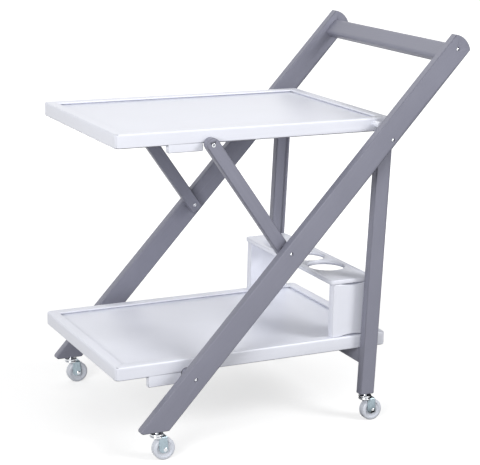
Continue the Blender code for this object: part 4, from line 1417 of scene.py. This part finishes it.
class TROLLEY_OT_studio(bpy.types.Operator):
    """Set up the pale studio with its floor, lights and camera"""

    bl_idname = "trolley.studio"
    bl_label = "Studio"

    def execute(self, context):
        sizes = context.scene.trolley_studio
        self.camera(context, sizes)
        self.floor(sizes)
        self.world(context, sizes)
        self.lamp("key_light", sizes.key_place, sizes.middle, sizes.key_size, sizes.key)
        self.lamp("side_light", sizes.side_place, sizes.bar, sizes.side_size, sizes.side)
        self.lamp("top_light", sizes.top_place, sizes.middle, sizes.top_size, sizes.top)
        # Two black cards, beside the trolley and on the floor, that show in reflections alone: painted dark
        # reflections.
        self.card("side_card", sizes.side_card_low, sizes.side_card_high)
        self.card("floor_card", sizes.floor_card_low, sizes.floor_card_high)
        context.scene.view_settings.view_transform = "Standard"
        return {"FINISHED"}

    def camera(self, context, sizes):
        """The photograph's camera: panned from +Y towards +X, tilted down, then rolled."""
        pan, tilt, roll = sizes.pan, sizes.tilt, sizes.roll
        ahead = Vector((math.sin(pan) * math.cos(tilt), math.cos(pan) * math.cos(tilt), -math.sin(tilt)))
        right = Vector((math.cos(pan), -math.sin(pan), 0))
        down = ahead.cross(right)
        across = right * math.cos(roll) + down * math.sin(roll)
        below = down * math.cos(roll) - right * math.sin(roll)
        camera = bpy.data.cameras.new("camera")
        camera.lens = sizes.lens
        camera.sensor_fit = "HORIZONTAL"
        camera.sensor_width = sizes.sensor
        eye = bpy.data.objects.new("camera", camera)
        context.scene.collection.objects.link(eye)
        turn = Matrix((across, -below, -ahead)).transposed().to_4x4()
        eye.matrix_world = Matrix.Translation(Vector(sizes.camera_place)) @ turn
        context.scene.camera = eye

    def sheet(self, name, low, high):
        """A flat sheet between two opposite corners, which share one of their three coordinates."""
        axis = next(axis for axis in range(3) if low[axis] != high[axis])
        corners = [list(low), list(low), list(high), list(high)]
        corners[1][axis] = high[axis]
        corners[3][axis] = low[axis]
        mesh = bpy.data.meshes.new(name)
        mesh.from_pydata(corners, [], [(0, 1, 2, 3)])
        piece = add_object(name, mesh)
        return piece

    def in_view(self, tree):
        """1 for rays that show the surroundings, directly, by reflection or through the wheels, else 0."""
        path = tree.nodes.new("ShaderNodeLightPath")
        seen = calculate(tree, "MAXIMUM", path.outputs["Is Camera Ray"], path.outputs["Is Glossy Ray"])
        return calculate(tree, "MAXIMUM", seen, path.outputs["Is Transmission Ray"])

    def floor(self, sizes):
        """A white floor that shows soft shadows: part of its brightness doesn't depend on the lamps."""
        edge = sizes.floor_reach
        piece = self.sheet("floor", (-edge, -edge, 0), (edge, edge, 0))
        made = bpy.data.materials.new("Floor")
        made.use_nodes = True
        tree = made.node_tree
        tree.nodes.clear()
        path = tree.nodes.new("ShaderNodeLightPath")
        bounce = (sizes.floor_tone, sizes.floor_tone * sizes.floor_bounce)
        tone = remap(tree, path.outputs["Is Diffuse Ray"], (0, 1), bounce)
        lit = add_node(tree, "ShaderNodeBsdfDiffuse", Color=tone)
        place = tree.nodes.new("ShaderNodeTexCoord")
        distance = add_node(
            tree, "ShaderNodeVectorMath", {"operation": "LENGTH"}, Vector=place.outputs["Object"]
        )
        white = add_node(
            tree, "ShaderNodeMapRange", {"interpolation_type": "SMOOTHSTEP"},
            Value=distance.outputs["Value"], From_Min=sizes.shadow_reach, From_Max=sizes.shadow_end,
            To_Min=1 - sizes.floor_share, To_Max=1,
        )
        strength = calculate(tree, "MULTIPLY", self.in_view(tree), white.outputs["Result"])
        glow = add_node(tree, "ShaderNodeEmission", Color=(1, 1, 1, 1), Strength=strength)
        both = tree.nodes.new("ShaderNodeAddShader")
        for shader, socket in zip((lit, glow), both.inputs):
            tree.links.new(shader.outputs[0], socket)
        out = tree.nodes.new("ShaderNodeOutputMaterial")
        tree.links.new(both.outputs["Shader"], out.inputs["Surface"])
        piece.data.materials.append(made)

    def card(self, name, low, high):
        """A black card that shows in reflections alone: a painted dark reflection, which gives the bolts
        their dark edges and dims the sheen of the glossy parts that face it.
        """
        piece = self.sheet(name, low, high)
        made = bpy.data.materials.new(name)
        made.use_nodes = True
        shader = made.node_tree.nodes["Principled BSDF"]
        shader.inputs["Base Color"].default_value = (0, 0, 0, 1)
        shader.inputs["Specular IOR Level"].default_value = 0
        piece.data.materials.append(made)
        piece.visible_camera = False
        piece.visible_diffuse = False
        piece.visible_transmission = False
        piece.visible_shadow = False

    def world(self, context, sizes):
        """White where it is seen or reflected, and a plain all-round light."""
        world = bpy.data.worlds.new("Studio")
        world.use_nodes = True
        tree = world.node_tree
        back = tree.nodes["Background"]
        back.inputs["Color"].default_value = (1, 1, 1, 1)
        strength = remap(tree, self.in_view(tree), (0, 1), (sizes.ambient, 1))
        tree.links.new(strength, back.inputs["Strength"])
        context.scene.world = world

    def lamp(self, name, place, target, size, power):
        """A round soft light that faces a place on the trolley."""
        light = bpy.data.lights.new(name, "AREA")
        light.shape = "DISK"
        light.size = size
        light.energy = power
        lamp = bpy.data.objects.new(name, light)
        bpy.context.scene.collection.objects.link(lamp)
        lamp.location = place
        lamp.rotation_euler = (Vector(target) - Vector(place)).to_track_quat("-Z", "Y").to_euler()


class TROLLEY_PT_sidebar(bpy.types.Panel):
    """Lists the trolley's pieces in the 3D view's sidebar"""

    bl_idname = "TROLLEY_PT_sidebar"
    bl_label = "Folding Trolley"
    bl_space_type = "VIEW_3D"
    bl_region_type = "UI"
    bl_category = "Trolley"

    def draw(self, context):
        for operator in OPERATORS:
            self.layout.operator(operator.bl_idname)


GROUPS = {
    "trolley_paint": PaintSettings,
    "trolley_metal": MetalSettings,
    "trolley_fittings": FittingSettings,
    "trolley_handle": HandleSettings,
    "trolley_caster": CasterSettings,
    "trolley_studio": StudioSettings,
}
OPERATORS = (
    TROLLEY_OT_studio,
    TROLLEY_OT_grey_boards,
    TROLLEY_OT_handle,
    TROLLEY_OT_trays,
    TROLLEY_OT_bottle_holder,
    TROLLEY_OT_fittings,
    TROLLEY_OT_caster_stems,
    TROLLEY_OT_caster_forks,
    TROLLEY_OT_wheels,
)


def register():
    for group in GROUPS.values():
        bpy.utils.register_class(group)
    for name, group in GROUPS.items():
        setattr(bpy.types.Scene, name, PointerProperty(type=group))
    for operator in OPERATORS:
        bpy.utils.register_class(operator)
    bpy.utils.register_class(TROLLEY_PT_sidebar)


def unregister():
    bpy.utils.unregister_class(TROLLEY_PT_sidebar)
    for operator in OPERATORS[::-1]:
        bpy.utils.unregister_class(operator)
    for name in GROUPS:
        delattr(bpy.types.Scene, name)
    for group in list(GROUPS.values())[::-1]:
        bpy.utils.unregister_class(group)


def main():
    register()
    for operator in OPERATORS:
        category, name = operator.bl_idname.split(".")
        getattr(getattr(bpy.ops, category), name)()
    bpy.context.view_layer.update()


if __name__ == "__main__":
    main()
